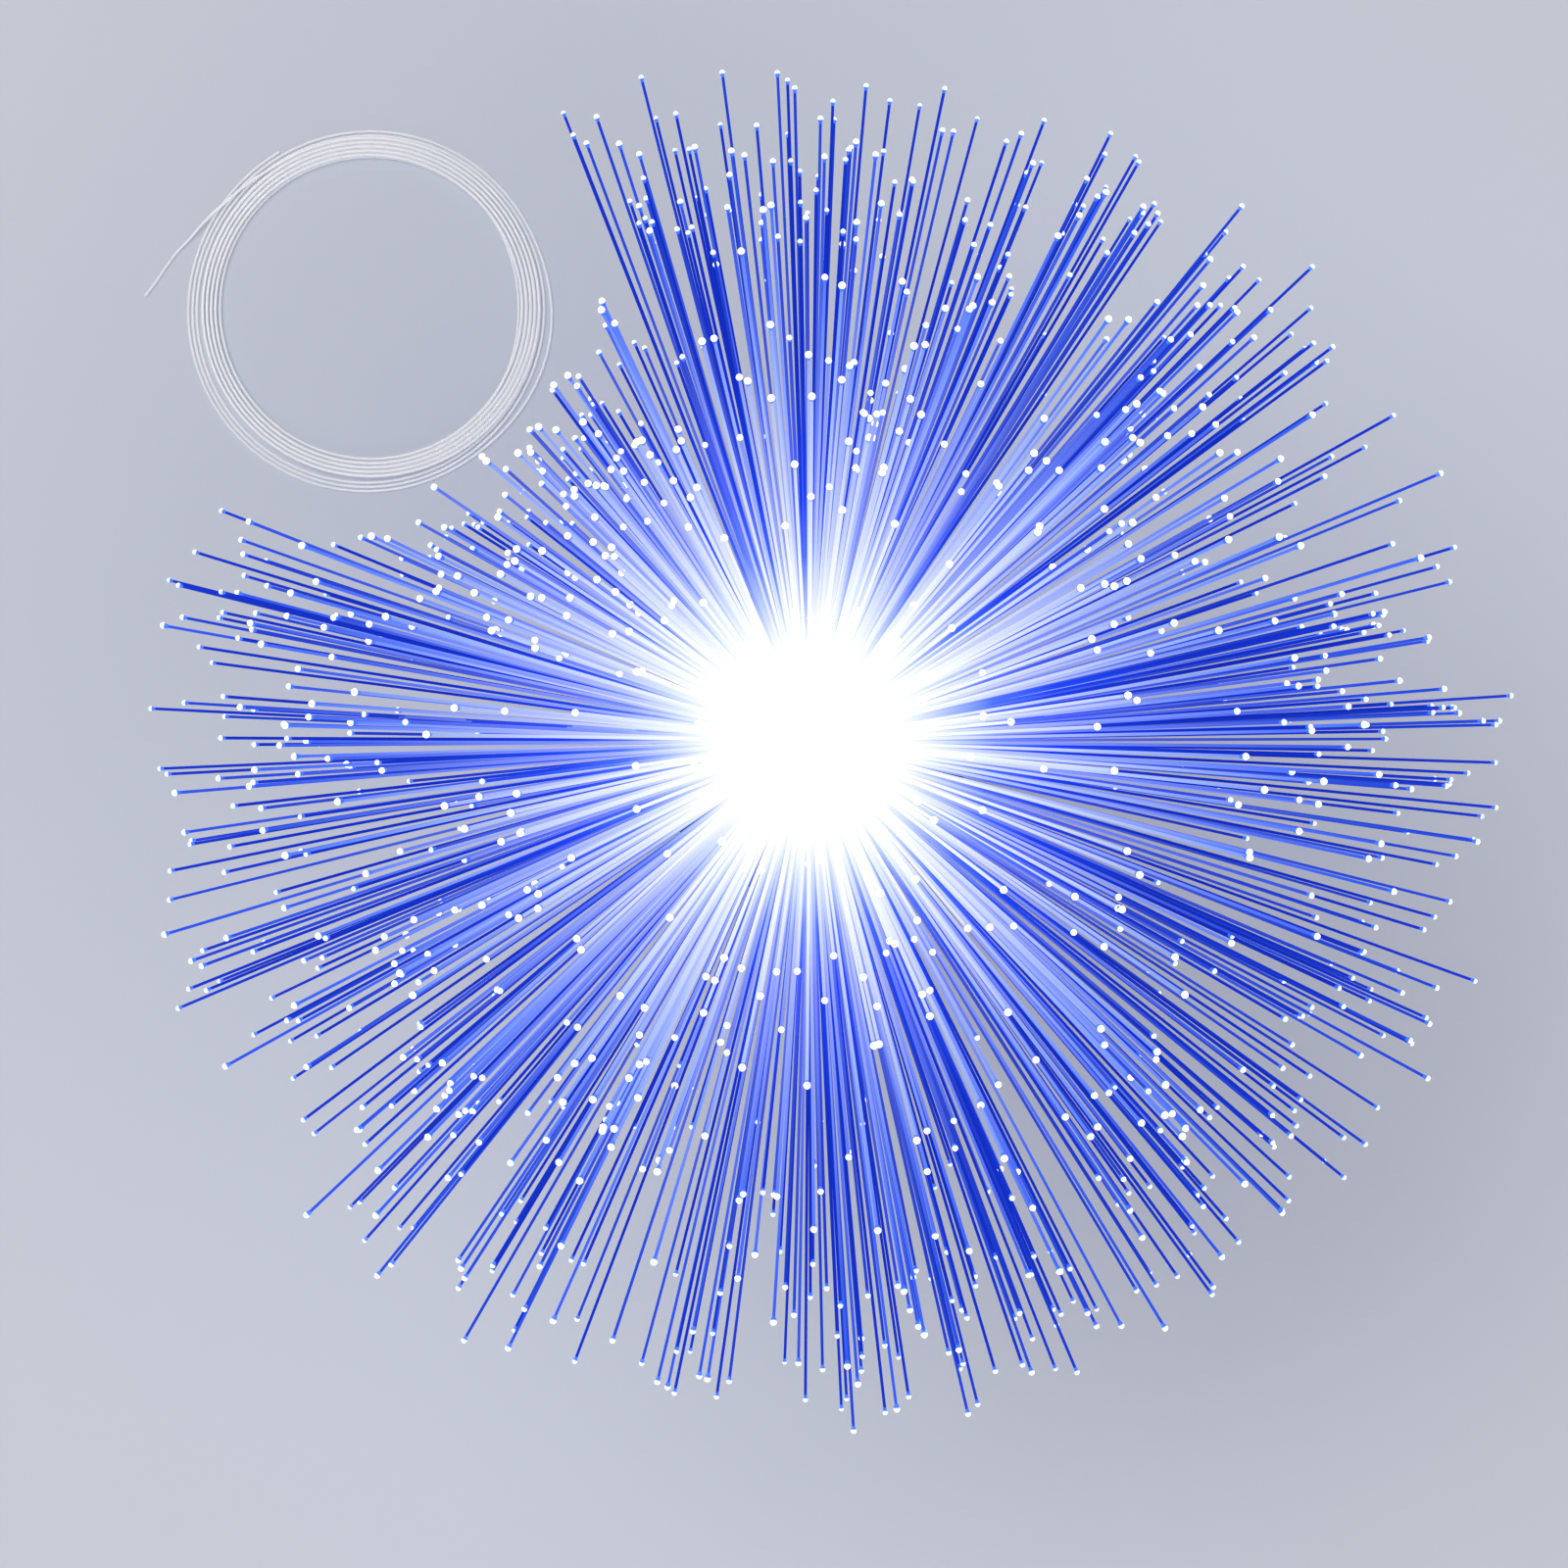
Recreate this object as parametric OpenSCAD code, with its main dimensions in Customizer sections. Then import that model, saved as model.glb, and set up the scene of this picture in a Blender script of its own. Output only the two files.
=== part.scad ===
// Fibre optic lamp: a burst of light fibres that plugs into a battery base,
// with a spare coil of the same fibre lying beside it.
// Millimetres, +Z up. The origin is the middle of the plane that the feet stand on.

/* [Fibre spray] */
// Diameter of one light fibre
fibre_d = 0.75; // [0.5:0.05:1]
// Length of a fibre from the ferrule's mouth to its tip
fibre_l = 170; // [120:1:220]
// Rings of strands around the middle of the bundle
fibre_rings = 10; // [8:1:12]
// Diameter of the packed bundle
bundle_d = 28; // [24:0.5:32]
// Angle from upright of the outermost fibres
spread_angle = 102; // [80:1:110]
// How far the tip of a level fibre sags
tip_sag = 12; // [4:1:20]
// Length over which a fibre bends away at the mouth
mouth_bend = 25.5; // [14:0.5:30]

/* [Ferrule and socket] */
// Wall of the ferrule tube
ferrule_wall = 1.5; // [1.2:0.1:2]
// How deep the ferrule plugs into the socket
ferrule_depth = 22; // [16:0.5:30]
// Width of the ferrule's gripping flange
flange_w = 3.6; // [2.5:0.1:5]
// Thickness of the ferrule's gripping flange
flange_t = 3.6; // [2.5:0.1:6]
// Height of the ferrule's nose above the flange
nose_h = 7; // [4:0.5:12]
// Flutes around the gripping flange
flutes = 24; // [12:2:36]
// Wall of the socket sleeve
sleeve_wall = 2.6; // [2.4:0.1:4]
// Thickness of the sleeve's lip on top of the neck
lip_t = 2.5; // [1.5:0.1:4]
// Section diameter of the rubber ring that grips the ferrule
grip_d = 1.6; // [1.2:0.1:1.8]

/* [Light] */
// Height of the reflector between light source and bundle
reflector_h = 8; // [6:0.5:14]
// Side of the light source's square package
led_w = 5; // [3:0.5:5.5]
// Thickness of the circuit boards
board_t = 1.6; // [1:0.1:2]
// Room between the control board and the light board
board_room = 6; // [5.5:0.5:12]

/* [Battery] */
// Diameter of a cell
cell_d = 14.5; // [10.5:0.1:16]
// Length of a cell with its cap
cell_l = 50.5; // [44.5:0.5:56]
// Wall between neighbouring cell pockets
cell_web = 0.9; // [0.8:0.1:2]
// Outer wall and roof of the cell cage
cage_wall = 1.5; // [1.2:0.1:3]

/* [Base] */
// Wall of the base shell
shell_wall = 2.4; // [1.8:0.1:3.2]
// Thickness of the base plate
plate_t = 3; // [2.6:0.1:4]
// Height of the rubber feet below the plate
foot_h = 2.5; // [1.5:0.1:5]
// Diameter of a rubber foot
foot_d = 9; // [7:0.5:10]
// Plain height of the rim above the button
rim_margin = 5; // [3:0.5:12]
// Length of the neck that grips the socket sleeve
neck_grip = 20; // [12:0.5:24]

/* [Button] */
// Diameter of the power button
button_d = 12; // [9:0.5:14]
// How far the button travels
button_travel = 1.5; // [1:0.1:2.5]
// How far the button stands out of the rim
button_proud = 2.4; // [2:0.1:4]
// Length of the button's stem
stem_l = 4; // [3:0.5:8]

/* [Cover] */
// Thickness of the cover's flange
cover_t = 1.6; // [1.2:0.1:2]
// Turn from locked to free
unlock_angle = 25; // [20:1:30]

/* [Spare coil] */
// Outer diameter of the coil
coil_d = 103; // [80:1:130]
// Turns in the lower layer of the coil
coil_turns = 7; // [4:1:8]
// Gap between neighbouring turns
coil_gap = 0.45; // [0.42:0.01:0.7]
// How far loose stretches stand off the bunched turns
coil_slack = 1.2; // [0:0.1:2]

/* [Hidden] */
$fn = 72;
fine_fn = 180;
edge_fn = 24;

// Clearances: fit between pieces that stay together, run between pieces that move,
// slide between the ferrule and its socket, tap around a screw's thread,
// eps for cutting past a face, root for growing a feature out of what carries it
fit = 0.1;
run = 0.3;
slide = 0.1;
tap = 0.05;
eps = 1;
root = 0.5;

// Cells stand upright on the corners of a square, each with a narrow cap
cell_r = cell_d / 2;
cap_h = 1.4;
cap_share = 0.36;
pocket_r = cell_r + run;
cell_at = pocket_r + cell_web / 2;
cells_r = cell_at * sqrt(2) + pocket_r;
cage_r = cells_r + cage_wall;

// Heights from the feet upwards
plate_z = foot_h;
plate_top = plate_z + plate_t;
opening_room = 0.8;
opening_r = cells_r + opening_room;
hub_r = opening_r - run;
hub_wall = 1.6;
bar_w = 4;
bar_inset = 1;
lug_w = 2.2;
lug_t = 1.3;
lug_arc = 20;
lug_root = 1.5;
lug_turns = [0, 120, 240];
notch_room = 4;
notch_arc = lug_arc + notch_room;
lug_r = hub_r + lug_w;
lug_z = plate_top + run;
deck_top = lug_z + lug_t;
deck_t = 1.4;
cover_lap = 1.6;
cover_r = lug_r + cover_lap;
contact_t = 0.4;
contact_rise = 1.6;
contact_share = 0.7;
arch_w = 4;
strip_w = 6;
strip_past = 5;
pin_r = 0.7;
pin_room = 0.2;
contact_top = deck_top + contact_rise;
cell_z = contact_top + fit;
cage_z = contact_top + 2 * fit;
cage_floor = 2;
cell_top = cell_z + cell_l;
roof_z = cell_top + fit + contact_t;
roof_top = roof_z + cage_wall;
spacer_h = 2;
spacer_r = 2.4;
board_z = roof_top + spacer_h;
board_top = board_z + board_t;
light_z = board_top + board_room;
sleeve_z = light_z + board_t;
ledge_z = sleeve_z + reflector_h;
end_gap = 0.5;
ferrule_z = ledge_z + end_gap;
sleeve_top = ferrule_z + ferrule_depth;
base_h = sleeve_top - lip_t;
flange_top = sleeve_top + flange_t;
mouth_z = flange_top + nose_h;

// Radii of the ferrule, its socket and the neck
bundle_r = bundle_d / 2;
ferrule_r = bundle_r + ferrule_wall;
socket_r = ferrule_r + slide;
sleeve_r = socket_r + sleeve_wall;
neck_bore = sleeve_r + fit;
neck_r = neck_bore + shell_wall;
lip_lap = 0.6;
lip_r = neck_r + lip_lap;
flange_r = ferrule_r + flange_w;
flute_r = 1.1;
flute_out = 0.5;
nose_w = 1;
nose_r = ferrule_r + nose_w;
mouth_bevel = 1.2;
mouth_flare = 1;
grip_gap = 0.05;
grip_r = ferrule_r + grip_gap + grip_d / 2;
groove_room = 0.15;
groove_r = grip_r + grip_d / 2 + groove_room;
groove_h = grip_d + 2 * groove_room;
groove_drop = 6;
groove_z = sleeve_top - groove_drop;

// The light board hangs below the sleeve, with the reflector in a cup inside the ledge
light_inset = 0.6;
light_r = sleeve_r - light_inset;
ledge_w = 3.4;
cup_r = socket_r - ledge_w;
cup_wall = 0.8;
throat_share = 0.8;
light_screw_at = (cup_r + sleeve_r) / 2;
light_turns = [30, 150, 270];
led_h = 1.4;
lens_rise = 1;
lens_share = 0.44;
lens_z = sleeve_z + lens_rise;

// Skirt of the cage around the cover's lugs with its two ears, each on a web
skirt_in = lug_r + run;
skirt_wall = 2;
skirt_r = skirt_in + skirt_wall;
ear_r = 3.4;
ear_h = 8;
ear_at = skirt_r + ear_r;
ear_turns = [0, 180];
web_l = 3;
web_w = 4;
web_h = 6;

// The switch board stands in two posts behind the button, then comes the shell
panel_w = 18;
panel_h = 16;
post_t = 2;
post_w = 5;
post_lap = 0.5;
post_share = 0.7;
post_at = panel_w / 2 - post_lap;
switch_h = 4;
switch_w = 8;
plunger_r = 1.7;
plunger_in = 0.5;
plunger_spare = 0.5;
plunger_out = button_travel + plunger_spare;
bore_spare = 1;
button_r = button_d / 2;
stem_r = 2.2;
collar_w = 1.4;
collar_r = button_r + collar_w;
collar_t = 1.2;
back_y = skirt_r + run + post_t;
switch_y = back_y + board_t;
switch_front = switch_y + switch_h;
stem_end = switch_front + plunger_out;
collar_y = stem_end + stem_l;
collar_front = collar_y + collar_t;
foot_inset = 0.8;
foot_gap = 0.7;
foot_room = ear_r + foot_gap + foot_d + foot_inset + fit;
base_in = max(norm([collar_front + run, collar_r]), ear_at + foot_room);
base_r = base_in + shell_wall;
button_front = base_r + button_proud;
button_z = plate_top + run + panel_h / 2;
rim_z = button_z + button_r + rim_margin;

// The bell's flare is one arc, upright where it reaches the neck
flare_r = (pow(base_r - neck_r, 2) + pow(base_h - rim_z, 2)) / (2 * (base_r - neck_r));
flare_x = neck_r + flare_r;
plate_r = base_in - fit;
boss_r = 3.6;
boss_inset = 0.6;
boss_at = base_in - boss_r - boss_inset;
boss_turns = [45, 135, 225, 315];
foot_at = plate_r - foot_d / 2 - foot_inset;
foot_turns = [0, 90, 180, 270];
foot_sink = 0.8;
foot_edge = 0.6;
foot_top_edge = 0.1;

// Screws: two sizes with a cross in the head, room around a head and beyond a tip
screw_r = 1.4;
screw_head_r = 2.7;
screw_head_t = 1.8;
screw_slot = 0.7;
plate_screw_l = 9;
cage_screw_l = 6;
small_r = 0.8;
small_head_r = 1.7;
small_head_t = 1.2;
small_slot = 0.4;
light_screw_l = 4;
slot_reach = 0.6;
slot_depth = 0.55;
head_room = 0.2;
tip_room = 1;

// The control board's parts: size and corner of a chip, a driver and the first of a row of resistors,
// and a round can
ctrl_inset = 1;
ctrl_r = cage_r - ctrl_inset;
ctrl_screw_inset = 3;
ctrl_screw_at = ctrl_r - ctrl_screw_inset;
ctrl_turns = [0, 180];
chip = [5, 4, 1.5];
chip_at = [-5, -2.5];
driver = [4, 3.5, 1.2];
driver_at = [3, -7];
resistor = [2, 1.2, 0.6];
resistor_at = [-7, 6];
resistor_step = 3;
resistors = 3;
can_r = 2;
can_at = [5, 3];
can_share = 0.55;

// Wires: how far each pair lies to either side, where the switch's pair leaves its board and lands,
// and the length that its bends are counted in
wire_r = 0.5;
wire_sides = 8;
light_wire_x = 1.6;
light_wire_share = 0.5;
switch_wire_x = 2;
wire_out = 5;
wire_z = button_z + wire_out;
wire_inset = 2;
wire_bend = 1;

// Rounding of the shell, bevel of turned and moulded edges, hollow in the button's face
shell_edge = 0.9;
edge = 0.5;
dish = 0.5;
dish_rim = 1.6;
dish_w = button_r - dish_rim;
dish_r = (pow(dish_w, 2) + pow(dish, 2)) / (2 * dish);

// Bundle and spray: ring k of the packed bundle holds 6 k strands, which stray by parts of a ring
// and by degrees, and differ in their reach and in the room that they leave beside the coil
strand_c = fibre_d * sqrt(PI / (3 * sqrt(3)));
fan_power = 1.85;
ring_stray = 0.8;
turn_stray = 2.4;
calm_rings = 2;
least_reach = 0.9;
least_room = 0.85;
bend_share = 0.75;
least_sine = 0.01;
clear_share = 0.9;
clear_r = 60;
slug_gap = 0.02;
slug_r = bundle_r - slug_gap;
strands = [for (k = [1:fibre_rings]) for (j = [0:6 * k - 1]) [k, j]];
top_count = 1 + 3 * fibre_rings * (fibre_rings + 1);

// The coil lies behind the lamp to the left, with its end running off to the left
coil_at = [-124, 122];
coil_pitch = fibre_d + coil_gap;
coil_rings = 22;
coil_sides = 6;
coil_out = (coil_d - fibre_d) / 2;
coil_in = coil_out - coil_turns * coil_pitch;
climb = 0.5;
climb_dip = 0.35;
upper_short = 2.5;
upper_turns = coil_turns - upper_short;
all_turns = coil_turns + climb + upper_turns;
last_angle = 120;
coil_start = last_angle - 360 * all_turns;
coil_steps = round(all_turns * coil_rings);
coil_low = fibre_d / 2;
coil_high = coil_low + coil_pitch;
// Middle and half width, in degrees, of the stretches where loose turns stand off
loose_turns = 3;
outer_swell = [120, 100];
outermost_swell = [225, 45];
innermost_swell = [240, 50];
// Straight lead of the loose end in diameters, and its sides
end_lead = 1.2;
end_sides = 8;
// Points of the loose end, counted from the middle of the coil: over the outer turns,
// then down to the table
end_route = [[-28.5, 39, 1.58], [-32.5, 36.5, 1.58], [-36.5, 33.5, 1.58], [-40.5, 30, 1.58],
    [-44, 27, 1.5], [-47.5, 23.5, 1.2], [-51, 19.5, 0.7], [-54.5, 16, 0.4], [-57.5, 12, 0.38],
    [-60.5, 7.5, 0.38], [-63.5, 3.5, 0.38]];

function unit(v) = v / norm(v);

// A scattered number from 0 to 1 for each whole number, and one spread evenly around 0
function noise(i) = let (s = sin(i * 127.1 + 31.7) * 437.58) s - floor(s);
function stray(i) = noise(i) - 0.5;

// Index of corner j on ring k of the bundle's top face
function corner(k, j) = k == 0 ? 0 : 1 + 3 * k * (k - 1) + j % (6 * k);
function strand_no(k, j) = 3 * k * (k - 1) + j;
function corner_xy(k, j) = let (a = 60 * j / k, r = slug_r * k / fibre_rings) [r * cos(a), r * sin(a)];

// Lean from upright, heading and reach of strand j on ring k, the same at half a turn
function seed(k, j) = 61 * k + j % (3 * k);
function ring_share(k, j) = (k - 0.5 + ring_stray * stray(seed(k, j))) / fibre_rings;
function lean(k, j) = spread_angle * pow(ring_share(k, j), fan_power);
function heading(k, j) = 60 * (j + 0.5) / k + (k <= calm_rings ? 0 : turn_stray * stray(seed(k, j) + 7));
function reach(k, j) = fibre_l * between(least_reach, noise(seed(k, j) + 19));
function between(least, share) = least + (1 - least) * share;

// How far out a strand that heads to h may go, so that the coil lies clear when seen from above
function room(h) = let (
    far = clear_share * norm(coil_at),
    d = h - atan2(coil_at[1], coil_at[0]),
    side = far * sin(d))
    cos(d) > 0 && abs(side) < clear_r ? far * cos(d) - sqrt(pow(clear_r, 2) - pow(side, 2)) : 2 * fibre_l;

// Three corners of a strand's section around p, for a strand that leans by a and heads to h
function section(p, a, h) = let (
    across = [-sin(h), cos(h), 0],
    outward = [cos(a) * cos(h), cos(a) * sin(h), -sin(a)])
    [p - across * strand_c * sin(60) + outward * strand_c / 2,
     p + across * strand_c * sin(60) + outward * strand_c / 2,
     p - outward * strand_c];
function along(a, h) = [sin(a) * cos(h), sin(a) * sin(h), cos(a)];
function strand_rings(k, j) = let (
    a = lean(k, j),
    h = heading(k, j),
    r0 = slug_r * (k - 1 / 3) / fibre_rings,
    h0 = 60 * (j + 0.5) / k,
    bend = [r0 * cos(h0), r0 * sin(h0), mouth_z] + mouth_bend * along(a / 2, h),
    left = (room(h) - r0 - mouth_bend * sin(a / 2)) * between(least_room, noise(seed(k, j) + 43)),
    run = min(reach(k, j) - mouth_bend, left / max(sin(a), least_sine)),
    tip = bend + run * along(a, h) - [0, 0, tip_sag * pow(sin(a) * run / fibre_l, 2)])
    concat(section(bend, a * bend_share, h), section(tip, a, h));

// Tube of n sides along points, with its section kept level against the given up direction
function heading_at(pts, i) = unit(pts[min(i + 1, len(pts) - 1)] - pts[max(i - 1, 0)]);
function tube_points(pts, r, n, up) = [for (i = [0:len(pts) - 1]) let (
    t = heading_at(pts, i), s = unit(cross(t, up)), u = cross(s, t))
    for (k = [0:n - 1]) pts[i] + r * (cos(360 * k / n) * s + sin(360 * k / n) * u)];
function tube_side(a, b, k, n) = let (m = (k + 1) % n) [[a + k, a + m, b + m], [a + k, b + m, b + k]];
function tube_faces(rings, n) = let (last = (rings - 1) * n) concat(
    [for (k = [1:n - 2]) [0, k + 1, k]],
    [for (i = [0:rings - 2]) for (k = [0:n - 1]) for (f = tube_side(i * n, (i + 1) * n, k, n)) f],
    [for (k = [1:n - 2]) [last, last + k, last + k + 1]]);

module tube(pts, r, n, up = [0, 0, 1]) {
    polyhedron(tube_points(pts, r, n, up), tube_faces(len(pts), n));
}

// A smooth hump of 1 around an angle
function swell(past, at) = let (off = (past - at[0]) / at[1])
    abs(off) < 1 ? pow(cos(90 * off), 2) : 0;

// Three outer turns stand off at the lower left, the outermost at the right too,
// and the innermost of the lower layer leaves the bunch at the right
function slack(t) = let (past = 360 * (t - floor(t))) coil_slack * (
    (t < loose_turns ? swell(past, outer_swell) : 0) + (t < 1 ? swell(past, outermost_swell) : 0)
    - (t >= coil_turns - 1 && t < coil_turns ? swell(past, innermost_swell) : 0));

// The coil winds in, climbs over half a turn while it dips inwards, and winds out on top
function coil_radius(t) = t <= coil_turns ? coil_out - coil_pitch * t + slack(t)
    : t <= coil_turns + climb ? coil_in - climb_dip * coil_pitch * sin(180 * (t - coil_turns) / climb)
    : coil_in + coil_pitch * (t - coil_turns - climb);
function coil_height(t) = t <= coil_turns ? coil_low
    : t <= coil_turns + climb ? coil_low + coil_pitch * (1 - cos(180 * (t - coil_turns) / climb)) / 2
    : coil_high;
function coil_point(i) = let (t = i / coil_rings, a = coil_start + 360 * t)
    [coil_at[0] + coil_radius(t) * cos(a), coil_at[1] + coil_radius(t) * sin(a), coil_height(t)];
function coil_path() = [for (i = [0:coil_steps]) coil_point(i)];
function least_gap(pts) = let (half = round(coil_rings / 2), n = len(pts))
    min([for (i = [0:n - 1 - half]) for (j = [i + half:n - 1]) norm(pts[i] - pts[j])]) - fibre_d;

module at_cells() {
    for (x = [-cell_at, cell_at], y = [-cell_at, cell_at]) translate([x, y, 0]) children();
}

// An upright cylinder of radius r from height z on
module rod(r, z, h) {
    translate([0, 0, z]) cylinder(r = r, h = h);
}

module at_turns(turns, r) {
    for (a = turns) rotate(a) translate([r, 0, 0]) children();
}

// A cylinder along Y, from the front at -y0 back to -y1
module front_rod(r, y0, y1) {
    translate([0, -y0, button_z]) rotate([-90, 0, 0]) cylinder(r = r, h = y0 - y1);
}

// An upright cylinder with bevelled edges
module edged_rod(r, z, h, low = edge, high = edge) {
    translate([0, 0, z]) rotate_extrude()
        polygon([[0, 0], [r - low, 0], [r, low], [r, h - high], [r - high, h], [0, h]]);
}

module bell() {
    rotate_extrude() offset(r = shell_edge, $fn = edge_fn) offset(delta = -shell_edge) difference() {
        translate([0, plate_z]) square([base_r, base_h - plate_z]);
        translate([flare_x, base_h]) circle(r = flare_r, $fn = fine_fn);
    }
}

module bell_hollow() {
    rotate_extrude() difference() {
        translate([0, plate_z - eps]) square([base_in, base_h - neck_grip - plate_z + eps]);
        translate([flare_x, base_h]) circle(r = flare_r + shell_wall, $fn = fine_fn);
    }
}

module base_shell() color("#17181c") difference() {
    union() {
        difference() {
            bell();
            bell_hollow();
        }
        intersection() {
            at_turns(boss_turns, boss_at) rod(boss_r, plate_top, base_h);
            bell();
        }
    }
    rod(neck_bore, plate_z, base_h);
    front_rod(button_r + run, button_front + eps, collar_y);
    at_turns(boss_turns, boss_at) rod(screw_r + tap, plate_top - eps, plate_screw_l + eps);
}

module base_plate() color("#1d1e22") {
    difference() {
        rod(plate_r, plate_z, plate_t);
        rod(opening_r, plate_z - eps, plate_t + 2 * eps);
        rod(cover_r + run, plate_z - eps, cover_t + fit + eps);
        for (a = lug_turns) rotate(a - unlock_angle)
            lug_sector(lug_r + run, notch_arc, plate_z - eps, plate_t + 2 * eps);
        at_turns(boss_turns, boss_at) plate_screw_hole();
        at_turns(ear_turns, ear_at) plate_screw_hole();
        at_turns(foot_turns, foot_at) translate([0, 0, plate_z - eps])
            cylinder(d = foot_d + 2 * fit, h = foot_sink + eps);
    }
    for (x = [-1, 1]) difference() {
        translate([x * post_at - post_w / 2, -(switch_y + post_t + fit), plate_top - root])
            cube([post_w, 2 * post_t + board_t + 2 * fit, panel_h * post_share + root]);
        translate([-panel_w / 2 - fit, -(switch_y + fit), plate_top + run - fit])
            cube([panel_w + 2 * fit, board_t + 2 * fit, panel_h]);
    }
}

// A wedge of a ring around Z, used for the lugs and their notches
module lug_sector(r, arc, z, h) {
    translate([0, 0, z]) rotate(-arc / 2) rotate_extrude(angle = arc) translate([hub_r - lug_root, 0])
        square([r - hub_r + lug_root, h]);
}

module plate_screw_hole() {
    rod(screw_r + fit, plate_z - eps, plate_t + 2 * eps);
    rod(screw_head_r + head_room, plate_z - eps, screw_head_t + eps);
}

module pan_screw(r, head_r, head_t, length, slot) {
    difference() {
        union() {
            cylinder(r = head_r, h = head_t);
            cylinder(r = r, h = head_t + length);
        }
        for (a = [0, 90]) rotate(a) translate([-head_r * slot_reach, -slot / 2, -eps])
            cube([2 * head_r * slot_reach, slot, eps + head_t * slot_depth]);
    }
}

module rubber_feet() color("#2a2b2e") {
    at_turns(foot_turns, foot_at) edged_rod(foot_d / 2, 0, foot_h + foot_sink, foot_edge, foot_top_edge);
}

module plate_screws() color("#b9bcc2") {
    at_turns(boss_turns, boss_at) translate([0, 0, plate_z])
        pan_screw(screw_r, screw_head_r, screw_head_t, plate_screw_l, screw_slot);
}

module cage_screws() color("#b9bcc2") {
    at_turns(ear_turns, ear_at) translate([0, 0, plate_z])
        pan_screw(screw_r, screw_head_r, screw_head_t, cage_screw_l, screw_slot);
}

module battery_cage() color("#3a3c42") difference() {
    union() {
        rod(cage_r, cage_z, roof_top - cage_z);
        rod(skirt_r, plate_top, cage_z + cage_floor - plate_top);
        at_turns(ear_turns, ear_at) rod(ear_r, plate_top, ear_h);
        at_turns(ear_turns, skirt_r) translate([-web_l / 2, -web_w / 2, plate_top])
            cube([web_l, web_w, web_h]);
        at_turns(ctrl_turns, ctrl_screw_at) rod(spacer_r, roof_top - root, spacer_h + root);
    }
    rod(skirt_in, plate_top - eps, cage_z - plate_top + eps);
    at_cells() rod(pocket_r, cage_z - eps, roof_z - cage_z + eps);
    at_cells() rod(pin_r + pin_room, roof_z - eps, cage_wall + 2 * eps);
    at_turns(ear_turns, ear_at) rod(screw_r + tap, plate_top - eps, cage_screw_l + eps);
    at_turns(ctrl_turns, ctrl_screw_at) rod(small_r + tap, roof_top - tip_room, spacer_h + tip_room + eps);
}

module aa_cells() color("#7d8790") {
    at_cells() translate([0, 0, cell_z]) {
        cylinder(r = cell_r, h = cell_l - cap_h);
        cylinder(r = cell_r * cap_share, h = cell_l);
    }
}

module top_contacts() color("#c9ccd1") {
    at_cells() {
        rod(cell_r * contact_share, cell_top + fit, contact_t);
        rod(pin_r, cell_top + fit, board_z - cell_top - fit);
    }
}

module control_board() color("#1f6b3a") difference() {
    rod(ctrl_r, board_z, board_t);
    at_turns(ctrl_turns, ctrl_screw_at) rod(small_r + fit, board_z - eps, board_t + 2 * eps);
}

module board_parts() color("#26282c") {
    translate(concat(chip_at, board_top)) cube(chip);
    translate(concat(can_at, board_top)) cylinder(r = can_r, h = board_room * can_share);
    for (i = [0:resistors - 1]) translate(concat(resistor_at, board_top) + [i * resistor_step, 0, 0])
        cube(resistor);
    translate(concat(driver_at, board_top)) cube(driver);
}

module board_screws() color("#b9bcc2") {
    at_turns(ctrl_turns, ctrl_screw_at) translate([0, 0, board_top + small_head_t]) rotate([180, 0, 0])
        pan_screw(small_r, small_head_r, small_head_t, board_t + spacer_h, small_slot);
}

module light_board() color("#dfe3e6") difference() {
    rod(light_r, light_z, board_t);
    at_turns(light_turns, light_screw_at) translate([0, 0, light_z - eps])
        cylinder(r = small_r + fit, h = board_t + 2 * eps);
}

module light_screws() color("#b9bcc2") {
    at_turns(light_turns, light_screw_at) translate([0, 0, light_z - small_head_t])
        pan_screw(small_r, small_head_r, small_head_t, board_t + light_screw_l, small_slot);
}

module light_source() color("#3f6bff") {
    translate([-led_w / 2, -led_w / 2, sleeve_z]) cube([led_w, led_w, led_h]);
    intersection() {
        translate([0, 0, lens_z]) sphere(r = led_w * lens_share);
        translate([-led_w, -led_w, lens_z]) cube(2 * led_w);
    }
}

module reflector() color("#e9ebee") rotate_extrude() polygon([
    [led_w * throat_share, sleeve_z], [cup_r - fit, sleeve_z], [cup_r - fit, ledge_z],
    [cup_r - cup_wall, ledge_z]]);

module socket_sleeve() color("#aeb4bb") difference() {
    union() {
        rod(sleeve_r, sleeve_z, sleeve_top - sleeve_z);
        edged_rod(lip_r, base_h, lip_t);
    }
    rod(cup_r, sleeve_z - eps, reflector_h + 2 * eps);
    rod(socket_r, ledge_z, sleeve_top);
    rod(groove_r, groove_z, groove_h);
    at_turns(light_turns, light_screw_at) rod(small_r + tap, sleeve_z - eps, light_screw_l + tip_room + eps);
}

module switch_board() color("#1f6b3a")
    translate([-panel_w / 2, -switch_y, plate_top + run]) cube([panel_w, board_t, panel_h]);

module switch_body() color("#222326") difference() {
    translate([-switch_w / 2, -switch_front, button_z - switch_w / 2])
        cube([switch_w, switch_h, switch_w]);
    front_rod(plunger_r + run, switch_front + eps, switch_front - button_travel - bore_spare);
}

module light_wires() color("#b3262b") {
    for (x = [-light_wire_x, light_wire_x]) translate([x, -light_r * light_wire_share, 0])
        rod(wire_r, board_top, light_z - board_top);
}

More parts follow.
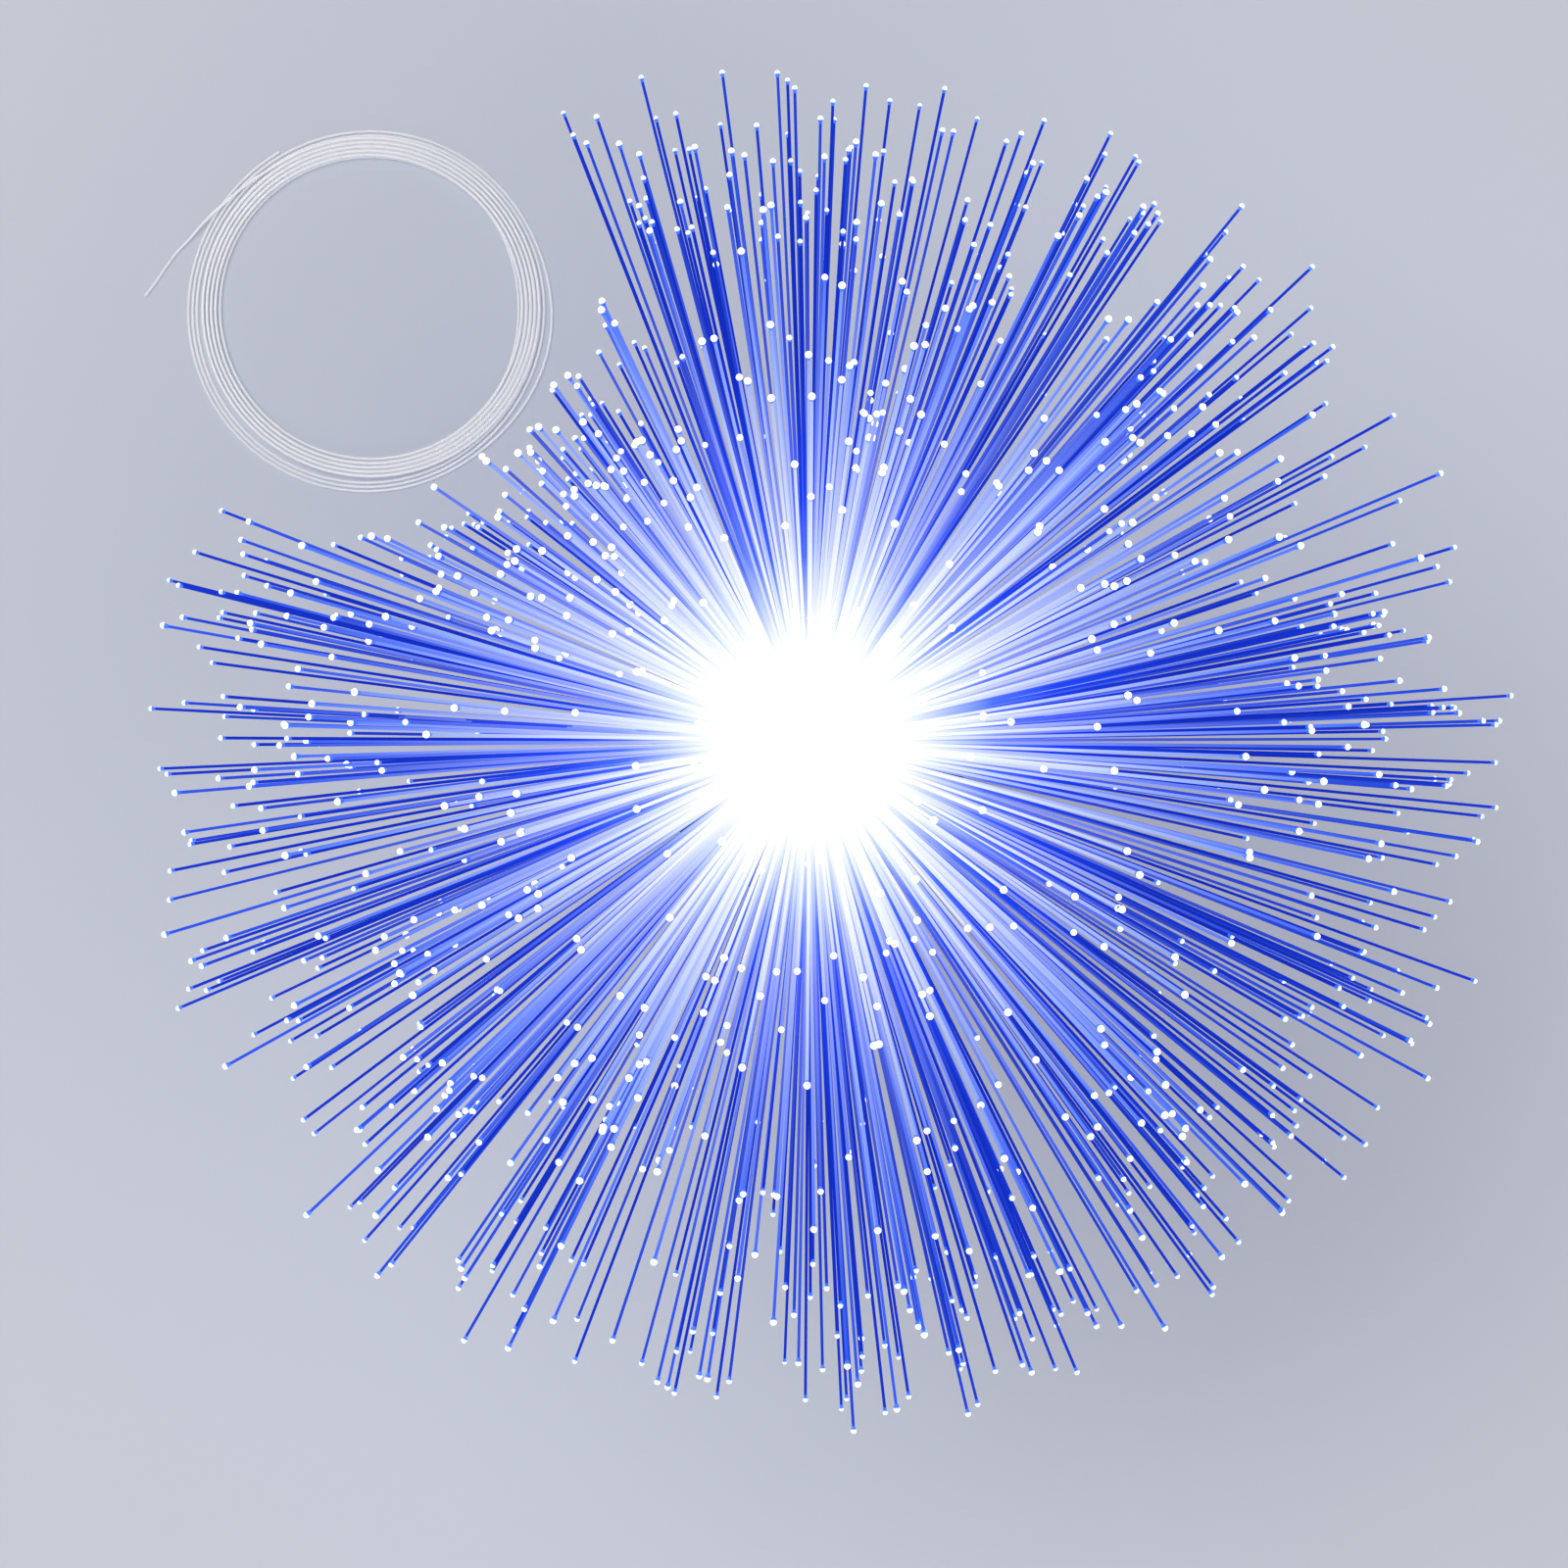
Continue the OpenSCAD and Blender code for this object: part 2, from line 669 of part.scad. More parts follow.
// Two wires climb from the switch board past the cage and over the edge of the control board
module switch_wires() color("#3b3d42") {
    b = wire_bend;
    rise = -(cage_r + run + wire_r);
    land = wire_inset - ctrl_r;
    for (x = [-switch_wire_x, switch_wire_x]) tube([
        [x, -back_y, wire_z], [x, 0.3 * b - back_y, wire_z], [x, 1.2 * b - back_y, wire_z + 0.6 * b],
        [x, rise - b, wire_z + 5 * b], [x, rise, wire_z + 9 * b], [x, rise, board_z - 8 * b],
        [x, rise, board_top], [x, rise + 0.4 * b, board_top + 1.1 * b],
        [x, (rise + land) / 2, board_top + 1.7 * b], [x, land - 0.3 * b, board_top + 1.1 * b],
        [x, land, board_top + 0.3 * b], [x, land, board_top]], wire_r, wire_sides, [1, 0, 0]);
}

module power_button() color("#c3c8ce") {
    difference() {
        union() {
            front_rod(button_r, button_front - edge, collar_front - collar_t / 2);
            translate([0, -button_front, button_z]) rotate([-90, 0, 0])
                cylinder(r1 = button_r - edge, r2 = button_r, h = edge);
        }
        translate([0, -button_front - dish_r + dish, button_z]) rotate([90, 0, 0])
            sphere(r = dish_r, $fn = fine_fn);
    }
    front_rod(collar_r, collar_front, collar_y);
    front_rod(stem_r, collar_y + collar_t / 2, stem_end);
}

module switch_plunger() color("#e8e6df") front_rod(plunger_r, stem_end, switch_front - plunger_in);

// Twist-lock cover with a gripping bar across its hollow
module battery_cover() color("#1d1e22") {
    difference() {
        union() {
            rod(cover_r, plate_z, cover_t);
            rod(hub_r, plate_z, deck_top - plate_z);
            for (a = lug_turns) rotate(a) lug_sector(lug_r, lug_arc, lug_z, lug_t);
        }
        rod(hub_r - hub_wall, plate_z - eps, deck_top - deck_t - plate_z + eps);
    }
    translate([bar_inset - hub_r, -bar_w / 2, plate_z])
        cube([2 * (hub_r - bar_inset), bar_w, deck_top - plate_z - root]);
}

// Each strip bridges two cells with a sprung arch under either one
module cover_contacts() color("#c9ccd1") {
    arch_r = (pow(arch_w, 2) + pow(contact_rise, 2)) / (2 * contact_rise);
    for (y = [-cell_at, cell_at]) translate([0, y + strip_w / 2, deck_top])
        rotate([90, 0, 0]) linear_extrude(strip_w) difference() {
        union() {
            translate([-cell_at - strip_past, 0]) square([2 * (cell_at + strip_past), contact_t]);
            for (x = [-cell_at, cell_at]) intersection() {
                translate([x, contact_rise - arch_r]) circle(r = arch_r);
                translate([x - arch_w, 0]) square([2 * arch_w, contact_rise + eps]);
            }
        }
        for (x = [-cell_at, cell_at]) translate([x, contact_rise - arch_r]) circle(r = arch_r - contact_t);
    }
}

module grip_ring() color("#26272a") translate([0, 0, groove_z + groove_h / 2]) rotate_extrude()
    translate([grip_r, 0]) circle(d = grip_d);

module ferrule() color("#c3c8ce") difference() {
    union() {
        edged_rod(ferrule_r, ferrule_z, ferrule_depth + flange_t);
        edged_rod(flange_r, sleeve_top, flange_t);
        edged_rod(nose_r, flange_top - edge, nose_h + edge);
    }
    rod(bundle_r, ferrule_z - eps, mouth_z);
    translate([0, 0, mouth_z - mouth_bevel])
        cylinder(r1 = bundle_r, r2 = bundle_r + 2 * mouth_flare, h = 2 * mouth_bevel);
    at_turns([for (i = [0:flutes - 1]) 360 * i / flutes], flange_r + flute_out)
        rod(flute_r, sleeve_top - eps, flange_t + 2 * eps);
}

// The packed bundle and its strands are one solid: every cell of the bundle's top face
// that points inwards carries a strand, the cells between them stay flat
module fibre_spray() color("#4a63ff") {
    rings = fibre_rings;
    rim = 6 * rings;
    top = concat([[0, 0, mouth_z]], [for (k = [1:rings]) for (j = [0:6 * k - 1])
        concat(corner_xy(k, j), mouth_z)]);
    bottom = concat([for (j = [0:rim - 1]) concat(corner_xy(rings, j), ferrule_z)], [[0, 0, ferrule_z]]);
    hairs = [for (s = strands) for (p = strand_rings(s[0], s[1])) p];
    b = top_count;
    h = b + rim + 1;
    flats = [for (k = [2:rings]) for (s = [0:5]) for (i = [0:k - 2]) let (c = s * (k - 1) + i)
        [corner(k - 1, c), corner(k - 1, c + 1), corner(k, s * k + i + 1)]];
    walls = [for (j = [0:rim - 1]) let (n = (j + 1) % rim, u = corner(rings, j), v = corner(rings, n))
        for (f = [[b + j, u, v], [b + j, v, b + n], [b + rim, b + j, b + n]]) f];
    strand_walls = [for (s = strands) let (
        k = s[0], j = s[1], o = h + 6 * strand_no(k, j),
        foot = [corner(k, j), corner(k, j + 1), corner(k - 1, j - floor(j / k))],
        levels = [foot, [o, o + 1, o + 2], [o + 3, o + 4, o + 5]])
        for (v = [0, 1]) let (low = levels[v], high = levels[v + 1])
            for (c = [0:2]) let (n = (c + 1) % 3)
                for (f = [[low[c], high[c], high[n]], [low[c], high[n], low[n]]]) f];
    caps = [for (s = strands) let (o = h + 6 * strand_no(s[0], s[1])) [o + 3, o + 5, o + 4]];
    polyhedron(concat(top, bottom, hairs), concat(flats, walls, strand_walls, caps));
}

module fibre_coil() color("#e6ebf2") {
    path = coil_path();
    echo(least_gap_of_coil = least_gap(path));
    tube(path, fibre_d / 2, coil_sides);
}

module coil_end() color("#e6ebf2") {
    last = coil_point(coil_steps);
    first = last + end_lead * fibre_d * unit(last - coil_point(coil_steps - 1));
    route = [for (p = end_route) concat(coil_at, 0) + p];
    tube(concat([last, first], route), fibre_d / 2, end_sides);
}

base_shell();
base_plate();
rubber_feet();
plate_screws();
battery_cage();
cage_screws();
aa_cells();
top_contacts();
control_board();
board_parts();
board_screws();
light_board();
light_screws();
light_source();
reflector();
socket_sleeve();
switch_board();
switch_body();
light_wires();
switch_wires();
power_button();
switch_plunger();
battery_cover();
cover_contacts();
grip_ring();
ferrule();
fibre_spray();
fibre_coil();
coil_end();
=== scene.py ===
"""Fibre optic lamp with a spare coil of fibre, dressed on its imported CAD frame.

The lamp is seen straight from above, as in the photograph. Sizes are in metres in the CAD row frame: +Z up
along the lamp's axis, -Y towards the power button, -X and +Y towards the coil. The coil repeats the route
of the part's source and holds it in millimetres, as the source does.
"""

from __future__ import annotations

import logging
import math
from dataclasses import dataclass, field
from enum import Enum
from typing import NamedTuple, Sequence

import bmesh
import bpy
import numpy as np
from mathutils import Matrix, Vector

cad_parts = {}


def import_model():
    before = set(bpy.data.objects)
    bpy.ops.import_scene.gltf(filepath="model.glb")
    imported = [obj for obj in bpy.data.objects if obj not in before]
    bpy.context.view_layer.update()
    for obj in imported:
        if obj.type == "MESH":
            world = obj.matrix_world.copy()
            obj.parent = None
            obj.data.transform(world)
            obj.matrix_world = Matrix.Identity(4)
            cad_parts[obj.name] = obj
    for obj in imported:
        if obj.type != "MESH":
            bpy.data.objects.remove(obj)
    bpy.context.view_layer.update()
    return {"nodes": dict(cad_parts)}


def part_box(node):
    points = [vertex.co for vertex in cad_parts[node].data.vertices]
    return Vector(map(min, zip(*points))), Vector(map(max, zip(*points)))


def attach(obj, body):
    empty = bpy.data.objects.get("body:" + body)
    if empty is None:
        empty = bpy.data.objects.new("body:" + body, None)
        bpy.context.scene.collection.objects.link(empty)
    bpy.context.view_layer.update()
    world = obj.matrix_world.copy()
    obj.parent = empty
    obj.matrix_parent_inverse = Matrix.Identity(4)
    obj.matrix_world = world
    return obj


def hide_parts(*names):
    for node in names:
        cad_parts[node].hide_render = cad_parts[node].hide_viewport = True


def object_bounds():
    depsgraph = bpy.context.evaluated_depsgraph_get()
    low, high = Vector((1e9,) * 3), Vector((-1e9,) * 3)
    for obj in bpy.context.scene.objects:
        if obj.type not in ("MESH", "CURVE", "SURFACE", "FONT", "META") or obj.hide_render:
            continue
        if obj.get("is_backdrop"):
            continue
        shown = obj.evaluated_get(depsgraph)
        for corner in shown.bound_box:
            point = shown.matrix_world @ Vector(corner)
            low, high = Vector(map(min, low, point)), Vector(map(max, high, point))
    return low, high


LOG = logging.getLogger("fibre_lamp")
MM = 0.001
SEED = 42
GOLDEN_TURN = 180 * (3 - math.sqrt(5))
CHANCE_STEP = 127.1
CHANCE_START = 31.7
CHANCE_SPREAD = 437.58
FIBRE_IOR = 1.49
MERGE = 0.001 * MM
BACKDROP = "c6c9d0"

Material = bpy.types.Material
Piece = bpy.types.Object
Shape = bmesh.types.BMesh
Array = np.ndarray
Pair = tuple[float, float]
Point = tuple[float, float, float]
Colour = tuple[float, float, float, float]
Stops = tuple[tuple[float, str], ...]


class Body(str, Enum):
    """CAD bodies that pieces ride on."""

    BASE = "base"
    HEAD = "head"
    COIL = "coil"


class Slot(str, Enum):
    """Material slots of the record; no piece here is given one."""

    BASE_PLASTIC = "base_plastic"
    FIBRE_LIT = "fibre_lit"
    FIBRE_CLEAR = "fibre_clear"


def srgb(code: str) -> Colour:
    """Turn a display colour into the linear colour that a shader takes.

    Args:
        code: Six hexadecimal digits.

    Returns:
        Linear red, green and blue, and an alpha of 1.
    """
    parts = [int(code[i:i + 2], 16) / 255 for i in (0, 2, 4)]
    linear = [p / 12.92 if p <= 0.04045 else ((p + 0.055) / 1.055) ** 2.4 for p in parts]
    return (*linear, 1.0)


def shade(colour: Colour, share: float) -> Colour:
    """Return a colour made darker or lighter by a share of it."""
    return (*(min(1.0, part * share) for part in colour[:3]), 1.0)


class Clouds(NamedTuple):
    """Cloudy noise: its clouds to the metre, how finely they break up, and its swing of the roughness."""

    scale: float
    detail: float
    swing: float = 0.0


class Sock:
    """A shader socket that takes part in sums, so that a pattern reads as a formula."""

    def __init__(self, graph: Graph, socket: bpy.types.NodeSocket) -> None:
        """Wrap a socket.

        Args:
            graph: The material that the socket belongs to.
            socket: An output socket of one of its nodes.
        """
        self.graph = graph
        self.socket = socket

    def maths(self, operation: str, *values: Sock | float, clamp: bool = False) -> Sock:
        """Return the outcome of a Math node.

        Args:
            operation: The node's operation.
            values: Its inputs in order.
            clamp: Keep the outcome within 0 and 1.

        Returns:
            The outcome's socket.
        """
        settings = {"operation": operation, "use_clamp": clamp}
        node = self.graph.node("ShaderNodeMath", settings, dict(enumerate(values)))
        return Sock(self.graph, node.outputs[0])

    def __add__(self, other: Sock | float) -> Sock:
        """Return the sum."""
        return self.maths("ADD", self, other)

    def __sub__(self, other: Sock | float) -> Sock:
        """Return the difference."""
        return self.maths("SUBTRACT", self, other)

    def __rsub__(self, other: Sock | float) -> Sock:
        """Return the difference from a number."""
        return self.maths("SUBTRACT", other, self)

    def __mul__(self, other: Sock | float) -> Sock:
        """Return the product."""
        return self.maths("MULTIPLY", self, other)

    def __pow__(self, other: Sock | float) -> Sock:
        """Return the power."""
        return self.maths("POWER", self, other)

    __radd__ = __add__
    __rmul__ = __mul__

    def sine(self) -> Sock:
        """Return the sine."""
        return self.maths("SINE", self)

    def absolute(self) -> Sock:
        """Return the value without its sign."""
        return self.maths("ABSOLUTE", self)

    def ripple(self) -> Sock:
        """Return a wave from 0 to 1 that the value runs along."""
        return self.sine() * 0.5 + 0.5

    def between(self, low: float, high: float) -> Sock:
        """Return the value's place between low and high, kept within 0 and 1."""
        return self.maths("MULTIPLY", self - low, 1 / (high - low), clamp=True)

    def ramp(self, stops: Stops) -> Sock:
        """Return the colour that the value has on a row of stops.

        Args:
            stops: Places from 0 to 1 with their display colours.

        Returns:
            The colour's socket.
        """
        node = self.graph.node("ShaderNodeValToRGB", {"stops": stops}, {0: self})
        return Sock(self.graph, node.outputs[0])


class Graph:
    """The node tree of a material or a world around its one shader."""

    def __init__(self, owner: Material | bpy.types.World) -> None:
        """Give the owner a node tree with nothing but its shader.

        Args:
            owner: A new material or world.
        """
        self.owner = owner
        owner.use_nodes = True
        self.tree = owner.node_tree
        shaders = ("BSDF_PRINCIPLED", "BACKGROUND")
        self.shader = next(node for node in self.tree.nodes if node.type in shaders)

    @classmethod
    def material(cls, name: str) -> Graph:
        """Return the tree of a new material."""
        return cls(bpy.data.materials.new(name))

    def node(self, kind: str, settings: dict[str, object],
             inputs: dict[str | int, object]) -> bpy.types.Node:
        """Add a node.

        Args:
            kind: The node's type.
            settings: Its properties, with a ramp's stops among them.
            inputs: Values or sockets by the name or number of its inputs.

        Returns:
            The node.
        """
        node = self.tree.nodes.new(kind)
        for key, value in settings.items():
            if key == "stops":
                self.set_stops(node.color_ramp, value)
            else:
                setattr(node, key, value)
        for key, value in inputs.items():
            self.feed(node.inputs[key], value)
        return node

    @staticmethod
    def set_stops(band: bpy.types.ColorRamp, stops: Stops) -> None:
        """Give a ramp its stops.

        Args:
            band: The ramp of a node.
            stops: Places from 0 to 1 with their display colours.
        """
        while len(band.elements) < len(stops):
            band.elements.new(1.0)
        for element, (place, code) in zip(band.elements, stops):
            element.position = place
            element.color = srgb(code)

    def feed(self, socket: bpy.types.NodeSocket, value: object) -> None:
        """Link an input, or give it a constant.

        Args:
            socket: An input of a node.
            value: A wrapped socket or a constant.
        """
        if isinstance(value, Sock):
            self.tree.links.new(value.socket, socket)
        else:
            socket.default_value = value

    def finish(self, **inputs: object) -> Material | bpy.types.World:
        """Set the shader's inputs.

        Args:
            inputs: Values or sockets by the inputs' names, with underscores for spaces.

        Returns:
            The material or world.
        """
        for key, value in inputs.items():
            self.feed(self.shader.inputs[key.replace("_", " ")], value)
        return self.owner

    def place(self) -> Sock:
        """Return the point on the object."""
        return Sock(self, self.node("ShaderNodeTexCoord", {}, {}).outputs["Object"])

    def xyz(self) -> tuple[Sock, Sock, Sock]:
        """Return the three parts of the point on the object."""
        node = self.node("ShaderNodeSeparateXYZ", {}, {0: self.place()})
        return tuple(Sock(self, part) for part in node.outputs)

    def attribute(self, name: str) -> Sock:
        """Return a number that the mesh carries on its points."""
        return Sock(self, self.node("ShaderNodeAttribute", {"attribute_name": name}, {}).outputs["Fac"])

    def noise(self, clouds: Clouds) -> Sock:
        """Return cloudy noise from 0 to 1."""
        inputs = {"Vector": self.place(), "Scale": clouds.scale, "Detail": clouds.detail}
        return Sock(self, self.node("ShaderNodeTexNoise", {}, inputs).outputs["Fac"])

    def cells(self, scale: float) -> Sock:
        """Return the distance to the nearest of scattered points, with so many to the metre."""
        node = self.node("ShaderNodeTexVoronoi", {}, {"Vector": self.place(), "Scale": scale})
        return Sock(self, node.outputs["Distance"])

    def mix(self, share: Sock | float, first: Sock | Colour, second: Sock | Colour) -> Sock:
        """Return a colour between two, by the sockets of a Mix node that take colours."""
        node = self.node("ShaderNodeMix", {"data_type": "RGBA"}, {0: share, 6: first, 7: second})
        return Sock(self, node.outputs[2])

    def tinted(self, pattern: Sock, edge: Pair, code: str, share: float) -> Sock:
        """Return a display colour that a pattern's edge makes darker or lighter."""
        base = srgb(code)
        return self.mix(pattern.between(*edge), base, shade(base, share))

    def bump(self, height: Sock, depth: float) -> Sock:
        """Return the surface's direction, roughened by a height pattern whose 1 stands for a depth."""
        node = self.node("ShaderNodeBump", {}, {"Distance": depth, "Height": height})
        return Sock(self, node.outputs[0])


def uneven(middle: float, *waves: tuple[Sock, float]) -> Sock:
    """Return a roughness that patterns swing around its middle value.

    Args:
        middle: The roughness where every pattern is at its half.
        waves: Patterns from 0 to 1, each with the whole swing that it gives.

    Returns:
        The roughness.
    """
    first, *others = [pattern * swing for pattern, swing in waves]
    return sum(others, first) + (middle - sum(swing for _, swing in waves) / 2)


def away(first: Sock, second: Sock) -> Sock:
    """Return the distance from the line on which both values are 0."""
    return (first * first + second * second) ** 0.5


@dataclass(frozen=True)
class Moulded:
    """Moulded plastic or rubber with a fine grain and a little dust."""

    name: str
    colour: str
    roughness: float = 0.45
    grain: float = 2600.0
    depth: float = 0.03 * MM
    coat: float = 0.0
    coat_roughness: float = 0.2
    grain_detail: float = 2.0
    grain_swing: float = 0.08
    clouds: Clouds = Clouds(45.0, 5.0, 0.14)
    dusty: Pair = (0.4, 0.8)
    dust: float = 1.7

    def build(self) -> Material:
        """Make the material of this finish.

        Returns:
            The new material.
        """
        graph = Graph.material(self.name)
        grain = graph.noise(Clouds(self.grain, self.grain_detail))
        cloud = graph.noise(self.clouds)
        return graph.finish(
            Base_Color=graph.tinted(cloud, self.dusty, self.colour, self.dust),
            Roughness=uneven(self.roughness, (cloud, self.clouds.swing), (grain, self.grain_swing)),
            Coat_Weight=self.coat,
            Coat_Roughness=self.coat_roughness,
            Normal=graph.bump(grain, self.depth),
        )


@dataclass(frozen=True)
class Turned:
    """Metal with the fine lines of the lathe around the lamp's axis."""

    name: str
    colour: str
    roughness: float = 0.3
    lines: float = 9000.0
    line_swing: float = 0.08
    line_depth: float = 0.008 * MM
    clouds: Clouds = Clouds(150.0, 4.0, 0.14)
    tarnished: Pair = (0.35, 0.8)
    tarnish: float = 0.78

    def build(self) -> Material:
        """Make the material of this finish.

        Returns:
            The new material.
        """
        graph = Graph.material(self.name)
        x, y, z = graph.xyz()
        lines = ((away(x, y) + z) * self.lines).ripple()
        cloud = graph.noise(self.clouds)
        return graph.finish(
            Base_Color=graph.tinted(cloud, self.tarnished, self.colour, self.tarnish),
            Metallic=1.0,
            Roughness=uneven(self.roughness, (lines, self.line_swing), (cloud, self.clouds.swing)),
            Normal=graph.bump(lines, self.line_depth),
        )


@dataclass(frozen=True)
class Plated:
    """Plated metal with a mottled skin."""

    name: str
    colour: str
    roughness: float = 0.28
    clouds: Clouds = Clouds(420.0, 4.0, 0.16)
    specks: Clouds = Clouds(3000.0, 2.0, 0.06)
    speck_depth: float = 0.006 * MM
    mottled: Pair = (0.35, 0.75)
    mottle: float = 0.72

    def build(self) -> Material:
        """Make the material of this finish.

        Returns:
            The new material.
        """
        graph = Graph.material(self.name)
        cloud = graph.noise(self.clouds)
        speck = graph.noise(self.specks)
        return graph.finish(
            Base_Color=graph.tinted(cloud, self.mottled, self.colour, self.mottle),
            Metallic=1.0,
            Roughness=uneven(self.roughness, (cloud, self.clouds.swing), (speck, self.specks.swing)),
            Normal=graph.bump(speck, self.speck_depth),
        )


@dataclass(frozen=True)
class Spun:
    """Satin silver of the button's cap, spun around the button's own axis."""

    name: str
    colour: str
    axis_z: float
    roughness: float = 0.31
    metallic: float = 0.85
    rings: float = 16000.0
    ring_swing: float = 0.08
    ring_depth: float = 0.006 * MM
    clouds: Clouds = Clouds(260.0, 4.0, 0.14)
    rim: Pair = (5.3 * MM, 6.0 * MM)
    worn: Pair = (0.2, 0.8)
    wear: float = 1.25

    def build(self) -> Material:
        """Make the material of this finish.

        Returns:
            The new material.
        """
        graph = Graph.material(self.name)
        x, _, z = graph.xyz()
        out = away(x, z - self.axis_z)
        rings = (out * self.rings).ripple()
        cloud = graph.noise(self.clouds)
        worn = out.between(*self.rim) * cloud
        return graph.finish(
            Base_Color=graph.tinted(worn, self.worn, self.colour, self.wear),
            Metallic=self.metallic,
            Roughness=uneven(self.roughness, (rings, self.ring_swing), (cloud, self.clouds.swing)),
            Normal=graph.bump(rings, self.ring_depth),
        )


@dataclass(frozen=True)
class CellJacket:
    """Plain jacket of a cell with bare metal ends."""

    name: str
    colour: str
    low: float
    high: float
    bare_colour: str = "c9ccd1"
    bare_low: Pair = (1.2 * MM, 1.0 * MM)
    bare_high: Pair = (3.0 * MM, 2.8 * MM)
    roughness: float = 0.33
    metallic: float = 0.3
    clouds: Clouds = Clouds(180.0, 3.0, 0.14)
    cloud_depth: float = 0.01 * MM
    clouded: Pair = (0.3, 0.8)
    sheen: float = 1.3

    def build(self) -> Material:
        """Make the material of this finish.

        Returns:
            The new material.
        """
        graph = Graph.material(self.name)
        _, _, z = graph.xyz()
        below = z.between(*(self.low + edge for edge in self.bare_low))
        above = z.between(*(self.high - edge for edge in self.bare_high))
        bare = below + above
        cloud = graph.noise(self.clouds)
        jacket = graph.tinted(cloud, self.clouded, self.colour, self.sheen)
        return graph.finish(
            Base_Color=graph.mix(bare, jacket, srgb(self.bare_colour)),
            Metallic=bare * (1 - self.metallic) + self.metallic,
            Roughness=uneven(self.roughness, (cloud, self.clouds.swing)),
            Normal=graph.bump(cloud, self.cloud_depth),
        )


@dataclass(frozen=True)
class Circuit:
    """Circuit board: tracks under a solder mask, and glints of solder."""

    name: str
    mask: str
    track: str
    solder: str = "c7cacf"
    lines: Pair = (1500.0, 1300.0)
    bends: Clouds = Clouds(160.0, 1.0)
    bend: float = 3.0
    track_edge: Pair = (0.22, 0.3)
    solder_spots: float = 260.0
    solder_edge: Pair = (0.16, 0.1)
    solder_metallic: float = 0.9
    roughness: float = 0.34
    clouds: Clouds = Clouds(300.0, 3.0, 0.16)
    depth: float = 0.03 * MM

    def build(self) -> Material:
        """Make the material of this finish.

        Returns:
            The new material.
        """
        graph = Graph.material(self.name)
        x, y, z = graph.xyz()
        bend = graph.noise(self.bends) * self.bend
        lines = ((x + z) * self.lines[0] + bend).sine() * ((y - z) * self.lines[1] + bend).sine()
        tracks = lines.absolute().between(*self.track_edge)
        solder = graph.cells(self.solder_spots).between(*self.solder_edge)
        cloud = graph.noise(self.clouds)
        mask = graph.mix(tracks, srgb(self.track), srgb(self.mask))
        return graph.finish(
            Base_Color=graph.mix(solder, mask, srgb(self.solder)),
            Metallic=solder * self.solder_metallic,
            Roughness=uneven(self.roughness, (cloud, self.clouds.swing)),
            Normal=graph.bump(tracks + solder, self.depth),
        )


@dataclass(frozen=True)
class Glow:
    """The light source's lens."""

    name: str
    bright: str = "bccdff"
    dim: str = "5f83f8"
    strength: float = 1.2
    roughness: float = 0.15
    clouds: Clouds = Clouds(500.0, 2.0, 0.1)
    clouded: Pair = (0.3, 0.7)

    def build(self) -> Material:
        """Make the material of this finish.

        Returns:
            The new material.
        """
        graph = Graph.material(self.name)
        cloud = graph.noise(self.clouds)
        glow = graph.mix(cloud.between(*self.clouded), srgb(self.bright), srgb(self.dim))
        return graph.finish(
            Base_Color=glow, Roughness=uneven(self.roughness, (cloud, self.clouds.swing)),
            Emission_Color=glow, Emission_Strength=self.strength)


